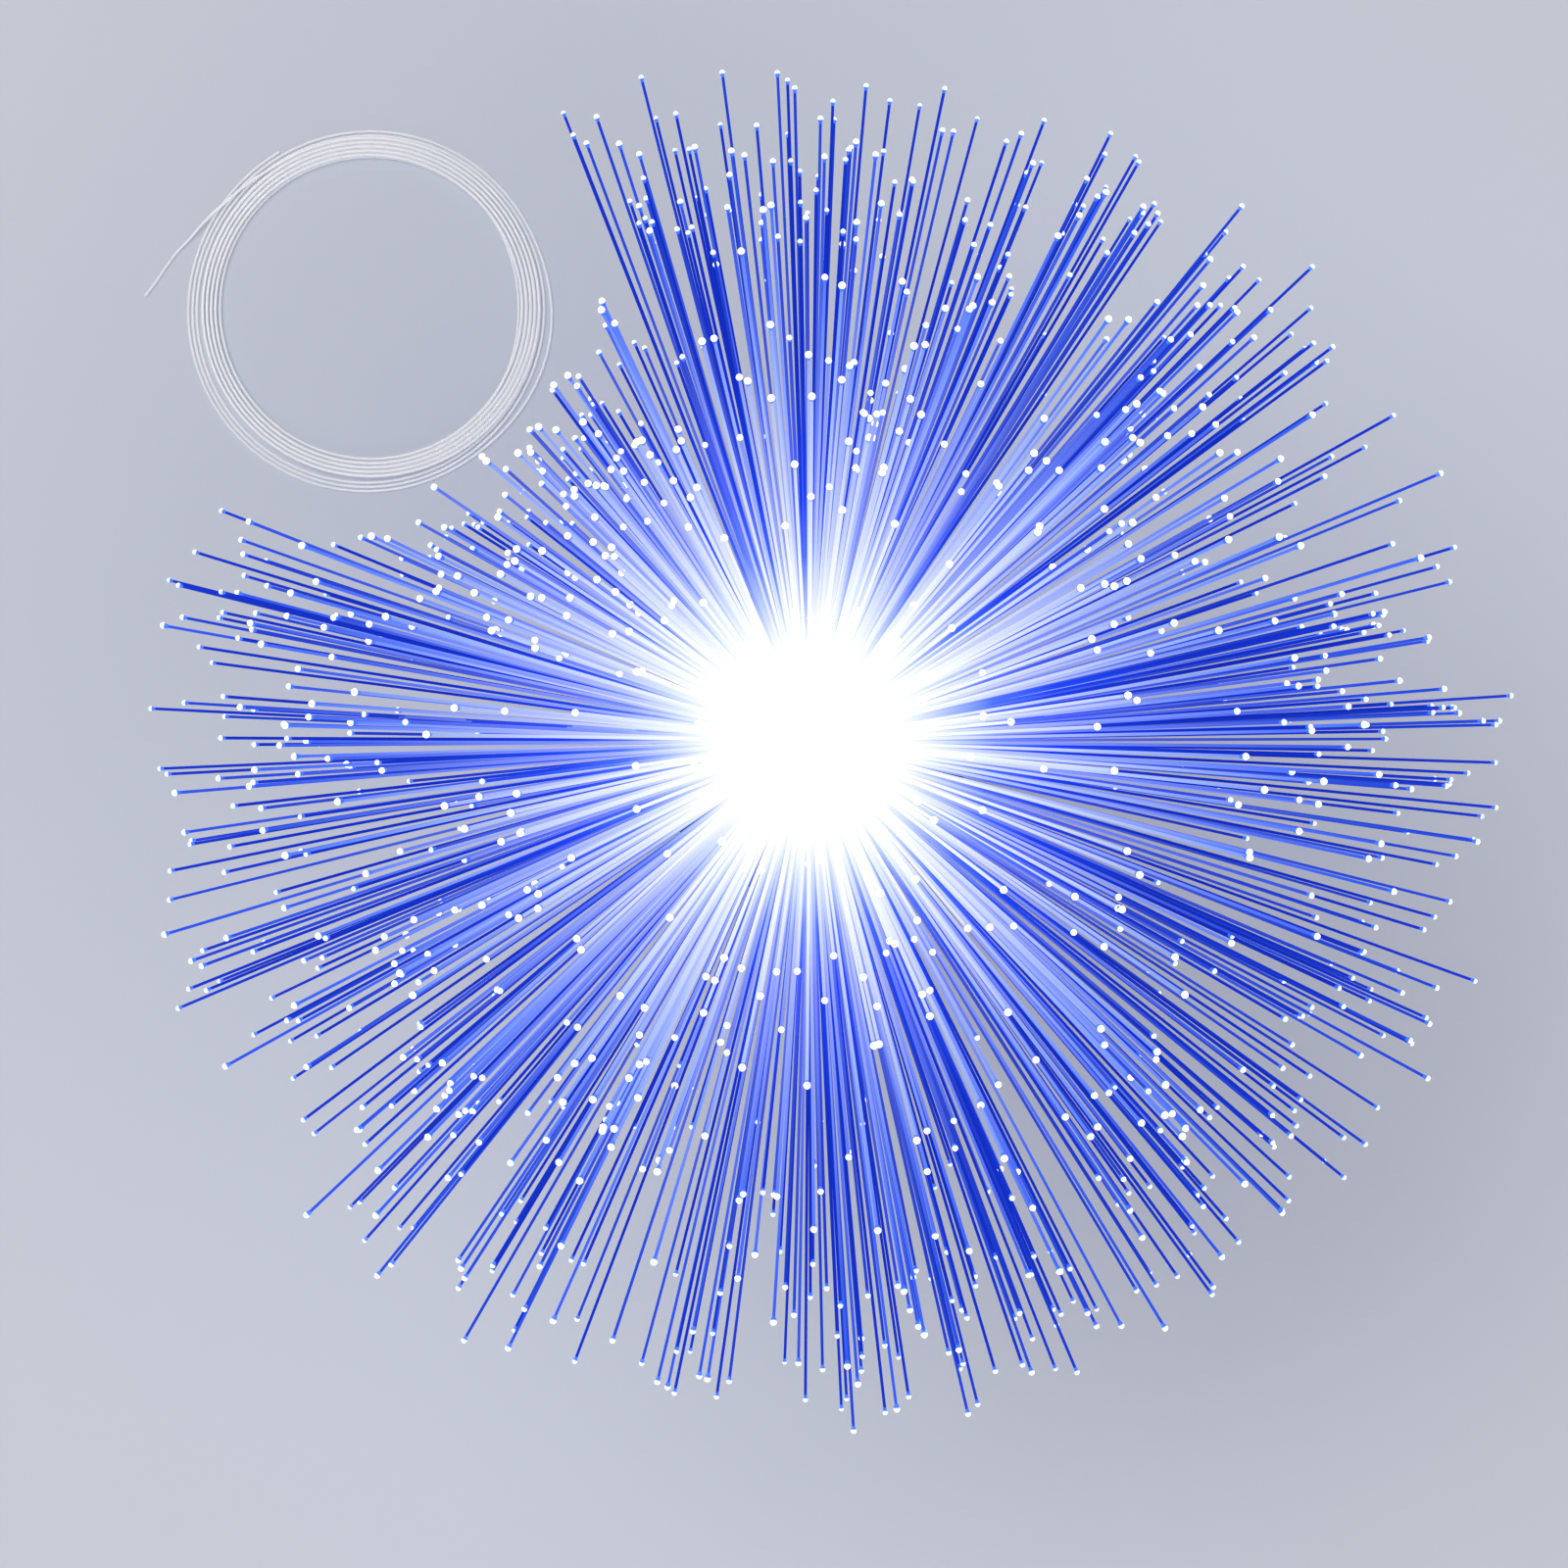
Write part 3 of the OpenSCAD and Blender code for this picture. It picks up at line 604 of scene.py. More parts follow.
@dataclass(frozen=True)
class FibreLight:
    """Light in the fibres: white at the ferrule, lavender in those on top and deep blue in those below."""

    reach: float = 180 * MM
    strength: float = 0.6
    pale: Stops = (
        (0.0, "ffffff"), (0.16, "feffff"), (0.22, "eff3ff"), (0.29, "d8e0ff"), (0.38, "b7c7ff"),
        (0.48, "92acff"), (0.58, "6c8dfa"), (0.7, "456fec"), (0.84, "365fe2"), (1.0, "3058d8"))
    deep: Stops = (
        (0.0, "ffffff"), (0.13, "f4f7ff"), (0.19, "afc2ff"), (0.25, "4f75f4"), (0.33, "1c46d8"),
        (0.5, "0f2dac"), (0.76, "0e2cac"), (1.0, "1434bc"))
    # Painted light: the fibres' base colour is half their glow's colour and half this navy, the deep blue
    # of the light in them
    body: str = "0c1f8a"
    painted_navy_share: float = 0.5
    gloss: float = 0.05
    roughness: float = 0.22
    specks: Clouds = Clouds(900.0, 2.0, 0.12)
    speck_depth: float = 0.01 * MM
    tip_white: str = "ffffff"
    tip_dim: str = "9db8ff"
    painted_halo: str = "2f62ff"
    tip_edge: Pair = (0.42, 0.62)
    tip_roughness: float = 0.26
    tip_strength: float = 0.9
    dim_depth: Pair = (0.8, 1.0)
    dim_share: float = 0.45
    spots: float = 1350.0
    spot_colour: str = "f2f5ff"
    spot_depth: float = 0.05 * MM
    resin_colour: str = "b9c6ff"
    resin_glow: str = "c4d0ff"
    resin_edge: Pair = (0.34, 0.5)
    resin_roughness: float = 0.3
    resin_swing: float = 0.3

    def colour(self, graph: Graph) -> Sock:
        """Work out the light's colour at a point of a fibre.

        Args:
            graph: The fibre's material.

        Returns:
            The colour's socket.
        """
        x, y, _ = graph.xyz()
        out = away(x, y) * (1 / self.reach)
        return graph.mix(graph.attribute("deep"), out.ramp(self.pale), out.ramp(self.deep))

    def fibre(self) -> Material:
        """Make the finish of a lit fibre.

        Returns:
            The new material.
        """
        graph = Graph.material("lit_fibre")
        colour = self.colour(graph)
        speck = graph.noise(self.specks)
        return graph.finish(
            # Painted light: the glow's colour is painted into the base colour too, mixed half and half with
            # navy
            Base_Color=graph.mix(self.painted_navy_share, colour, srgb(self.body)),
            Roughness=uneven(self.roughness, (speck, self.specks.swing)),
            IOR=FIBRE_IOR,
            Specular_IOR_Level=self.gloss,
            Emission_Color=colour,
            Emission_Strength=self.strength,
            Normal=graph.bump(speck, self.speck_depth),
        )

    def tip(self) -> Material:
        """Make the finish of a fibre's glowing end: white, with a painted halo, a blue ring behind it.

        Returns:
            The new material.
        """
        graph = Graph.material("fibre_tip")
        dim = graph.attribute("deep").between(*self.dim_depth) * self.dim_share
        end = graph.mix(dim, srgb(self.tip_white), srgb(self.tip_dim))
        # Painted halo: the blue ring on the back of each end stands in for the light spreading around it
        glow = graph.mix(graph.attribute("along").between(*self.tip_edge), srgb(self.painted_halo), end)
        speck = graph.noise(self.specks)
        return graph.finish(
            Base_Color=glow, Roughness=uneven(self.tip_roughness, (speck, self.specks.swing)),
            Emission_Color=glow, Emission_Strength=self.tip_strength)

    def bundle(self) -> Material:
        """Make the finish of the potted bundle: bright fibre ends in resin that glows blue.

        Returns:
            The new material.
        """
        graph = Graph.material("bundle_ends")
        spot = graph.cells(self.spots)
        resin = spot.between(*self.resin_edge)
        bright = srgb(self.spot_colour)
        return graph.finish(
            Base_Color=graph.mix(resin, bright, srgb(self.resin_colour)),
            Roughness=uneven(self.resin_roughness, (resin, self.resin_swing)),
            Emission_Color=graph.mix(resin, bright, srgb(self.resin_glow)),
            Emission_Strength=self.strength,
            Normal=graph.bump(spot, self.spot_depth),
        )


@dataclass(frozen=True)
class ClearFibre:
    """Unlit fibre: clear plastic, milky, with a faint painted glow that stands in for the light that it
    carries inside.
    """

    name: str = "clear_fibre"
    painted_glow: float = 0.1
    white: str = "ffffff"
    milky: str = "f4f7fa"
    clouded: Pair = (0.3, 0.75)
    roughness: float = 0.22
    clouds: Clouds = Clouds(120.0, 4.0, 0.1)
    specks: Clouds = Clouds(1600.0, 2.0, 0.06)
    speck_depth: float = 0.008 * MM
    inside: float = 0.8
    inside_reach: float = 1.5 * MM
    coat: float = 0.3
    coat_roughness: float = 0.08
    least_alpha: float = 0.5
    alpha_swing: float = 0.2

    def build(self) -> Material:
        """Make the material of this finish.

        Returns:
            The new material.
        """
        graph = Graph.material(self.name)
        cloud = graph.noise(self.clouds)
        speck = graph.noise(self.specks)
        return graph.finish(
            Base_Color=graph.mix(cloud.between(*self.clouded), srgb(self.white), srgb(self.milky)),
            Roughness=uneven(self.roughness, (cloud, self.clouds.swing), (speck, self.specks.swing)),
            IOR=FIBRE_IOR,
            Subsurface_Weight=self.inside,
            Subsurface_Radius=(1.0, 1.0, 1.0),
            Subsurface_Scale=self.inside_reach,
            Coat_Weight=self.coat,
            Coat_Roughness=self.coat_roughness,
            Alpha=cloud * self.alpha_swing + self.least_alpha,
            # Painted glow: a faint white emission on the unlit fibre, which lightens it
            Emission_Color=srgb(self.white),
            Emission_Strength=self.painted_glow,
            Normal=graph.bump(speck, self.speck_depth),
        )


@dataclass(frozen=True)
class PaleFloor:
    """Plain pale floor that fades into the backdrop far from the lamp."""

    name: str = "pale_floor"
    colour: str = BACKDROP
    clouds: Clouds = Clouds(3.0, 4.0, 0.1)
    clouded: Pair = (0.3, 0.7)
    lighter: float = 1.02
    roughness: float = 0.8
    gloss: float = 0.15
    fade: Pair = (0.7, 1.8)

    def build(self) -> Material:
        """Make the material of this finish.

        Returns:
            The new material.
        """
        graph = Graph.material(self.name)
        cloud = graph.noise(self.clouds)
        x, y, _ = graph.xyz()
        return graph.finish(
            Base_Color=graph.tinted(cloud, self.clouded, self.colour, self.lighter),
            Roughness=uneven(self.roughness, (cloud, self.clouds.swing)),
            Specular_IOR_Level=self.gloss,
            Alpha=away(x, y).between(self.fade[1], self.fade[0]),
        )


def add_object(name: str, data: bpy.types.ID) -> Piece:
    """Put a new object into the scene.

    Args:
        name: What the object is called.
        data: The mesh, curve, light or camera that it shows.

    Returns:
        The new object.
    """
    made = bpy.data.objects.new(name, data)
    bpy.context.scene.collection.objects.link(made)
    return made


def add_piece(name: str, shape: Shape, material: Material, sharp: float = 40) -> Piece:
    """Turn a finished shape into an object.

    Args:
        name: The piece's name.
        shape: Its shape, which is used up.
        material: Its material.
        sharp: Edges that turn by more degrees than this stay crisp.

    Returns:
        The object, smoothly shaded and at the origin.
    """
    mesh = bpy.data.meshes.new(name)
    shape.to_mesh(mesh)
    shape.free()
    mesh.materials.append(material)
    mesh.shade_smooth()
    mesh.set_sharp_from_angle(angle=math.radians(sharp))
    LOG.info("%s: %d faces", name, len(mesh.polygons))
    return add_object(name, mesh)


def lathe(outline: Sequence[Pair], sides: int) -> Shape:
    """Spin an outline around Z.

    Args:
        outline: Radius and height of each corner, from the bottom up.
        sides: Faces around.

    Returns:
        The shape, with its doubles merged and its faces outwards.
    """
    shape = bmesh.new()
    corners = [shape.verts.new((radius, 0.0, height)) for radius, height in outline]
    edges = [shape.edges.new(pair) for pair in zip(corners, corners[1:])]
    bmesh.ops.spin(shape, geom=corners + edges, cent=(0, 0, 0), axis=(0, 0, 1), angle=2 * math.pi,
                   steps=sides, use_merge=True)
    bmesh.ops.remove_doubles(shape, verts=shape.verts, dist=MERGE)
    bmesh.ops.recalc_face_normals(shape, faces=shape.faces)
    return shape


def repeat(shape: Shape, count: int) -> tuple[Shape, Array]:
    """Copy a shape many times in place.

    Args:
        shape: The shape, which is used up.
        count: How many copies the outcome has.

    Returns:
        The copies as one shape, copy after copy, and the points of the first one.
    """
    mesh = bpy.data.meshes.new("copy")
    shape.to_mesh(mesh)
    shape.free()
    points = np.array([vertex.co for vertex in mesh.vertices])
    copies = bmesh.new()
    for _ in range(count):
        copies.from_mesh(mesh)
    bpy.data.meshes.remove(mesh)
    return copies, points


def set_points(piece: Piece, points: Array, marks: dict[str, Array]) -> None:
    """Move a mesh's points and give them numbers for its material.

    Args:
        piece: The mesh object.
        points: A place for each point.
        marks: A number for each point, by attribute name.
    """
    piece.data.vertices.foreach_set("co", points.astype(np.float32).ravel())
    for name, numbers in marks.items():
        layer = piece.data.attributes.new(name, "FLOAT", "POINT")
        layer.data.foreach_set("value", numbers.astype(np.float32).ravel())
    piece.data.update()


class Sheaf(NamedTuple):
    """A bunch of fibres: its turn around the lamp, its lean from upright in degrees, and its fibres."""

    turn: float
    lean: float
    fibres: int


# The main tufts of the burst, listed as they show in the photograph
MAIN_SHEAVES = tuple(Sheaf(*tuft) for tuft in (
    (1, 76, 10), (3, 47, 14), (13, 53, 14), (28, 41, 10), (33, 28, 10), (40, 68, 8), (41, 37, 14),
    (48, 57, 11), (63, 70, 9), (72, 54, 12), (78, 30, 18), (83, 22, 9), (82, 54, 9), (90, 68, 14),
    (98, 52, 10), (106, 66, 16), (118, 30, 10), (124, 23, 10), (129, 33, 10), (136, 27, 12), (142, 33, 10),
    (151, 26, 12), (157, 33, 9), (166, 75, 11), (169, 44, 14), (182, 52, 18), (203, 70, 10), (208, 41, 13),
    (213, 26, 10), (225, 50, 17), (240, 75, 9), (242, 36, 16), (246, 24, 9), (260, 80, 5), (270, 74, 7),
    (273, 55, 9), (283, 72, 7), (293, 70, 13), (297, 20, 9), (307, 70, 13), (312, 40, 15), (322, 74, 10),
    (331, 74, 10), (340, 78, 9), (353, 76, 10)))


class Fibres(NamedTuple):
    """Fibres' turns and leans in degrees, lengths, and shares that they use of the room beside the coil."""

    turn: Array
    lean: Array
    length: Array
    share: Array


class Course(NamedTuple):
    """Points along every fibre, the level direction across it, and how deep a blue it has."""

    line: Array
    across: Array
    deep: Array


def chance(number: Array) -> Array:
    """Return a scattered number from 0 to 1 for each whole number, as the part's source does."""
    wave = np.sin(np.radians(number * CHANCE_STEP + CHANCE_START)) * CHANCE_SPREAD
    return wave - np.floor(wave)


def ease(share: Array) -> Array:
    """Return shares from 0 to 1 that start and end gently."""
    return share * share * (3 - 2 * share)


@dataclass
class FibreSpray:
    """The burst of lit fibres: the CAD spray's strands, and sheaves of finer growth between them."""

    sheaves: tuple[Sheaf, ...] = MAIN_SHEAVES
    strand_rings: int = 10
    strand_length: float = 170 * MM
    strand_lean: float = 102
    strand_fan: float = 1.85
    ring_seeds: int = 61
    ring_stray: float = 0.8
    turn_stray: float = 2.4
    turn_draw: int = 7
    calm_rings: int = 2
    least_reach: float = 0.9
    reach_draw: int = 19
    least_room: float = 0.85
    room_draw: int = 43
    filler_sheaves: int = 26
    filler_lean: tuple[float, ...] = (14, 22, 28, 33, 37, 41, 45, 49, 54, 60, 68)
    filler_fibres: tuple[int, int] = (4, 9)
    filler_drift: float = 4
    low_fibres: int = 223
    low_lean: Pair = (54, 101)
    low_scatter: float = 0.2
    upright_fibres: int = 15
    upright_lean: Pair = (1, 15)
    scatter: float = 2.9
    least_sine: float = 0.35
    clear_far: float = 156.6 * MM
    clear_turn: float = 135.47
    clear_r: float = 60 * MM
    clear_share: Pair = (0.8, 1.0)
    fibre_r: float = 0.375 * MM
    length: float = 174 * MM
    shortest: float = 0.8
    low_shortest: float = 0.5
    deep_lean: Pair = (22, 72)
    uneven_depth: float = 0.42
    short_side: float = 0.06
    bundle_r: float = 13.5 * MM
    bend: float = 30 * MM
    sag: float = 12 * MM
    sunk: float = 1.5 * MM
    sides: int = 5
    samples: int = 80
    rings: tuple[float, ...] = (0.0, 0.0375, 0.075, 0.1125, 0.1625, 0.2125, 0.4, 0.7, 1.0)
    # Outline of a glowing end in millimetres: a bead wider than the fibre, a painted glint of its lit end
    bead: tuple[Pair, ...] = (
        (0.0, -1.2), (0.38, -1.2), (0.52, -0.65), (0.7, -0.1), (0.62, 0.32), (0.36, 0.6), (0.0, 0.68))
    bead_sides: int = 8
    bright_bead: float = 1.2
    dim_bead: float = 0.9
    core_r: float = 13.95 * MM
    core_sunk: float = 0.7 * MM
    core_bevel: float = 0.4 * MM
    core_shoulder: float = 0.7 * MM
    core_crown: Pair = (0.5 * MM, 0.2 * MM)
    core_sides: int = 96
    mouth_z: float = 0.0
    count: int = 0
    rng: np.random.Generator = field(default_factory=lambda: np.random.default_rng(SEED))

    def build(self, light: FibreLight) -> list[Piece]:
        """Make the fibres, their glowing ends and the potted bundle.

        Args:
            light: The light that the fibres carry.

        Returns:
            The pieces.
        """
        self.mouth_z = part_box("ferrule")[1][2]
        burst = self.gather()
        self.count = len(burst.turn)
        course = self.lay(burst)
        pieces = [
            self.fibres(course, light.fibre()),
            self.ends(course, light.tip()),
            self.core(light.bundle()),
        ]
        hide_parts("fibre_spray")
        for piece in pieces:
            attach(piece, Body.HEAD.value)
        return pieces

    def strands(self) -> Fibres:
        """Follow the strands that the CAD's spray has, ring by ring of its bundle.

        Returns:
            The strands as fibres.
        """
        rings = np.arange(1, self.strand_rings + 1)
        ring = np.repeat(rings, 6 * rings)
        place = np.concatenate([np.arange(6 * k) for k in rings])
        seed = self.ring_seeds * ring + place % (3 * ring)
        out = (ring - 0.5 + self.ring_stray * (chance(seed) - 0.5)) / self.strand_rings
        drift = self.turn_stray * (chance(seed + self.turn_draw) - 0.5)
        stray = np.where(ring <= self.calm_rings, 0, drift)
        return Fibres(
            turn=60 * (place + 0.5) / ring + stray,
            lean=self.strand_lean * out ** self.strand_fan,
            length=self.strand_length * (
                self.least_reach + (1 - self.least_reach) * chance(seed + self.reach_draw)),
            share=self.least_room + (1 - self.least_room) * chance(seed + self.room_draw),
        )

    def gather(self) -> Fibres:
        """Bring the burst together: the strands, and between them sheaves, upright and low fibres.

        Returns:
            All fibres of the burst.
        """
        turns = []
        leans = []
        for sheaf in (*self.sheaves, *self.fillers()):
            wide = self.scatter / max(self.least_sine, math.sin(math.radians(sheaf.lean)))
            turns.append(sheaf.turn + self.rng.normal(0, wide, sheaf.fibres))
            leans.append(sheaf.lean + self.rng.normal(0, self.scatter, sheaf.fibres))
        turns.append(np.arange(self.upright_fibres) * GOLDEN_TURN)
        leans.append(self.rng.uniform(*self.upright_lean, self.upright_fibres))
        drift = self.rng.normal(0, self.low_scatter, self.low_fibres)
        turns.append(np.arange(self.low_fibres) * GOLDEN_TURN + drift)
        leans.append(self.rng.uniform(*self.low_lean, self.low_fibres))
        turn = np.concatenate(turns)
        trim = 1 - self.short_side * (1 + np.cos(np.radians(turn - self.clear_turn))) / 2
        shortest = np.full(len(turn), self.shortest)
        shortest[-self.low_fibres:] = self.low_shortest
        loose = Fibres(
            turn=turn,
            lean=np.abs(np.concatenate(leans)),
            length=self.length * trim * self.rng.uniform(shortest, 1.0),
            share=self.rng.uniform(*self.clear_share, len(turn)),
        )
        return Fibres(*(np.concatenate(pair) for pair in zip(self.strands(), loose)))

    def fillers(self) -> list[Sheaf]:
        """Spread lesser sheaves that fill the burst evenly.

        Returns:
            The lesser sheaves.
        """
        places = np.linspace(0, 1, len(self.filler_lean))
        share = (np.arange(self.filler_sheaves) + 0.5) / self.filler_sheaves
        leans = np.interp(share, places, self.filler_lean)
        sizes = self.rng.integers(*self.filler_fibres, self.filler_sheaves, endpoint=True)
        turns = np.arange(self.filler_sheaves) * GOLDEN_TURN
        turns = turns + self.rng.normal(0, self.filler_drift, self.filler_sheaves)
        return [Sheaf(*sheaf) for sheaf in zip(turns, leans, sizes)]

    def depth(self, lean: Array) -> Array:
        """Say how deep a blue fibres have.

        Args:
            lean: Every fibre's lean from upright in degrees.

        Returns:
            A number for each fibre, mostly 0 on top of the burst and 1 below.
        """
        low, high = self.deep_lean
        even = ease(np.clip((lean - low) / (high - low), 0, 1))
        return np.clip(even + self.rng.normal(0, self.uneven_depth, len(lean)), 0, 1)

    def room(self, heading: Array) -> Array:
        """Keep the coil clear, as seen from above.

        Args:
            heading: Every fibre's turn around the lamp.

        Returns:
            How far out each fibre may reach.
        """
        aside = heading - math.radians(self.clear_turn)
        side = self.clear_far * np.sin(aside)
        ahead = (np.cos(aside) > 0) & (np.abs(side) < self.clear_r)
        near = self.clear_far * np.cos(aside) - np.sqrt(np.maximum(self.clear_r ** 2 - side ** 2, 0))
        return np.where(ahead, near, 2 * self.length)

    def bow(self, slope: Array, length: Array) -> tuple[Array, Array]:
        """Bend fibres out of the ferrule and let them sag.

        Args:
            slope: Every fibre's lean from upright.
            length: Every fibre's length.

        Returns:
            How far out, and how far up, each fibre is at evenly spaced points along it.
        """
        slope = slope[:, None]
        run = np.linspace(0, 1, self.samples + 1)[None, :] * length[:, None]
        droop = 2 * self.sag / self.length ** 2 * np.sin(slope) * run
        angle = slope * ease(np.clip(run / self.bend, 0, 1)) + droop
        middle = (angle[:, 1:] + angle[:, :-1]) / 2
        step = np.diff(run, axis=1)
        start = np.zeros((self.count, 1))
        out = np.concatenate([start, np.cumsum(np.sin(middle) * step, axis=1)], axis=1)
        rise = np.concatenate([start, np.cumsum(np.cos(middle) * step, axis=1)], axis=1)
        return out, rise

    def lay(self, burst: Fibres) -> Course:
        """Work out where the fibres run.

        Args:
            burst: All fibres.

        Returns:
            Their course.
        """
        heading = np.radians(burst.turn)
        slope = np.radians(burst.lean)
        rank = np.argsort(np.argsort(burst.lean)) + 0.5
        foot = self.bundle_r * np.sqrt(rank / self.count)[:, None]
        reach = foot + self.bow(slope, burst.length)[0]
        free = np.mean(reach < self.room(heading)[:, None], axis=1)
        out, rise = self.bow(slope, burst.length * np.where(free < 1, free * burst.share, 1))
        line = np.stack([
            (foot + out) * np.cos(heading)[:, None], (foot + out) * np.sin(heading)[:, None],
            self.mouth_z - self.sunk + rise], axis=2)
        across = np.stack([-np.sin(heading), np.cos(heading), np.zeros(self.count)], axis=1)
        return Course(line, across, self.depth(burst.lean))

    @staticmethod
    def sweep(points: Array, centre: Array, way: Array, across: Array) -> Array:
        """Set a copy's points around its fibre, X across it and Y square to both.

        Args:
            points: Points of a copy, for all copies at once or copy by copy.
            centre: The point of its fibre's line that each of them belongs to.
            way: The line's direction there.
            across: The level direction across each fibre.

        Returns:
            The points of all copies.
        """
        wide = np.broadcast_to(across[:, None, :], way.shape)
        square = np.cross(way, wide)
        return centre + points[..., 0:1] * wide + points[..., 1:2] * square

    def fibres(self, course: Course, material: Material) -> Piece:
        """Make one straight fibre, cut it into rings, repeat it, and lay each copy along its line.

        Args:
            course: Where the fibres run.
            material: Their material.

        Returns:
            The piece.
        """
        shape = bmesh.new()
        *heights, top = self.rings[1:]
        bmesh.ops.create_cone(shape, cap_ends=True, segments=self.sides, radius1=self.fibre_r,
                              radius2=self.fibre_r, depth=top)
        bmesh.ops.translate(shape, verts=shape.verts, vec=(0, 0, top / 2))
        for height in heights:
            whole = [*shape.verts, *shape.edges, *shape.faces]
            bmesh.ops.bisect_plane(shape, geom=whole, plane_co=(0, 0, height), plane_no=(0, 0, 1))
        bmesh.ops.recalc_face_normals(shape, faces=shape.faces)
        copies, points = repeat(shape, self.count)
        picks = np.rint(points[:, 2] * self.samples).astype(int)
        way = np.gradient(course.line, axis=1)
        way /= np.linalg.norm(way, axis=2, keepdims=True)
        piece = add_piece("lit_fibres", copies, material)
        laid = self.sweep(points, course.line[:, picks], way[:, picks], course.across)
        set_points(piece, laid, {"deep": np.repeat(course.deep, len(points))})
        return piece

    def ends(self, course: Course, material: Material) -> Piece:
        """Spin one glowing end, repeat it, and set a copy on every fibre.

        Args:
            course: Where the fibres run.
            material: The ends' material.

        Returns:
            The piece.
        """
        shape = lathe([(radius * MM, height * MM) for radius, height in self.bead], self.bead_sides)
        copies, points = repeat(shape, self.count)
        tip = course.line[:, -1]
        way = tip - course.line[:, -2]
        way /= np.linalg.norm(way, axis=1, keepdims=True)
        way = np.broadcast_to(way[:, None, :], (self.count, len(points), 3))
        # Painted glint: the bead is larger on the brighter fibres
        scale = self.bright_bead + (self.dim_bead - self.bright_bead) * course.deep
        grown = points[None] * scale[:, None, None]
        centre = tip[:, None, :] + grown[..., 2:3] * way
        low = self.bead[0][1] * MM
        high = self.bead[-1][1] * MM
        along = np.tile((points[:, 2] - low) / (high - low), self.count)
        piece = add_piece("fibre_ends", copies, material)
        marks = {"deep": np.repeat(course.deep, len(points)), "along": along}
        set_points(piece, self.sweep(grown, centre, way, course.across), marks)
        return piece

    def core(self, material: Material) -> Piece:
        """Make the potted bundle inside the ferrule.

        Args:
            material: Its material.

        Returns:
            The piece.
        """
        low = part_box("fibre_spray")[0][2]
        high = self.mouth_z - self.core_sunk
        inward, down = self.core_crown
        outline = [
            (0.0, low), (self.core_r - self.core_bevel, low), (self.core_r, low + self.core_bevel),
            (self.core_r, high - self.core_shoulder), (self.core_r - inward, high - down), (0.0, high)]
        return add_piece("bundle_core", lathe(outline, self.core_sides), material)


@dataclass
class SpareCoil:
    """The coil of clear fibre that lies beside the lamp, with its loose end, in millimetres."""

    middle: Pair = (-124.0, 122.0)
    fibre: float = 0.75
    pitch: float = 1.2
    outer: float = 51.125
    turns: int = 7
    climb: float = 0.5
    climb_dip: float = 0.35
    upper: float = 4.5
    first_angle: float = 120.0
    slack: float = 1.2
    loose_turns: int = 3
    outer_swell: Pair = (120, 100)
    outermost_swell: Pair = (225, 45)
    innermost_swell: Pair = (240, 50)
    per_turn: int = 72
    round_steps: int = 2
    loose_end: tuple[Point, ...] = (
        (-28.5, 39, 1.58), (-32.5, 36.5, 1.58), (-36.5, 33.5, 1.58), (-40.5, 30, 1.58), (-44, 27, 1.5),
        (-47.5, 23.5, 1.2), (-51, 19.5, 0.7), (-54.5, 16, 0.4), (-57.5, 12, 0.38), (-60.5, 7.5, 0.38),
        (-63.5, 3.5, 0.38))

    @staticmethod
    def swell(past: float, middle: float, half: float) -> float:
        """Return a smooth hump of 1 around an angle, with half its width."""
        aside = (past - middle) / half
        return math.cos(math.pi / 2 * aside) ** 2 if abs(aside) < 1 else 0.0

    def off(self, turn: float) -> float:
        """Let some stretches lie loose.

        Args:
            turn: Turns from the outer end.

        Returns:
            How far the fibre stands off the bunch there.
        """
        past = 360 * (turn - math.floor(turn))
        outer = self.swell(past, *self.outer_swell) if turn < self.loose_turns else 0.0
        outermost = self.swell(past, *self.outermost_swell) if turn < 1 else 0.0
        last = self.turns - 1 <= turn < self.turns
        innermost = self.swell(past, *self.innermost_swell) if last else 0.0
        return self.slack * (outer + outermost - innermost)

    def at(self, turn: float) -> Point:
        """Follow the coil in, up and out again.

        Args:
            turn: Turns from the outer end.

        Returns:
            The point there, measured from the coil's middle.
        """
        inner = self.outer - self.turns * self.pitch
        height = self.fibre / 2
        past = (turn - self.turns) / self.climb
        if past <= 0:
            radius = self.outer - self.pitch * turn + self.off(turn)
        elif past <= 1:
            radius = inner - self.climb_dip * self.pitch * math.sin(math.pi * past)
            height += self.pitch * (1 - math.cos(math.pi * past)) / 2
        else:
            radius = inner + self.pitch * (turn - self.turns - self.climb)
            height += self.pitch
        angle = math.radians(self.first_angle + 360 * turn)
        return (radius * math.cos(angle), radius * math.sin(angle), height)

    def line(self) -> Array:
        """Follow the whole fibre of the coil.

        Returns:
            The points of its line, in metres.
        """
        total = self.turns + self.climb + self.upper
        steps = round(total * self.per_turn)
        points = [self.at(total * i / steps) for i in range(steps + 1)]
        return (np.array([*points, *self.loose_end]) + np.array([*self.middle, 0.0])) * MM

    def build(self) -> Piece:
        """Returns:
            The piece.
        """
        line = self.line()
        curve = bpy.data.curves.new("spare_coil", "CURVE")
        curve.dimensions = "3D"
        curve.bevel_depth = self.fibre / 2 * MM
        curve.bevel_resolution = self.round_steps
        curve.use_fill_caps = True
        spline = curve.splines.new("POLY")
        spline.points.add(len(line) - 1)
        spline.points.foreach_set("co", np.concatenate([line, np.ones((len(line), 1))], axis=1).ravel())
        spline.use_smooth = True
        curve.materials.append(ClearFibre().build())
        piece = add_object("spare_coil", curve)
        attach(piece, Body.COIL.value)
        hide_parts("fibre_coil", "coil_end")
        return piece


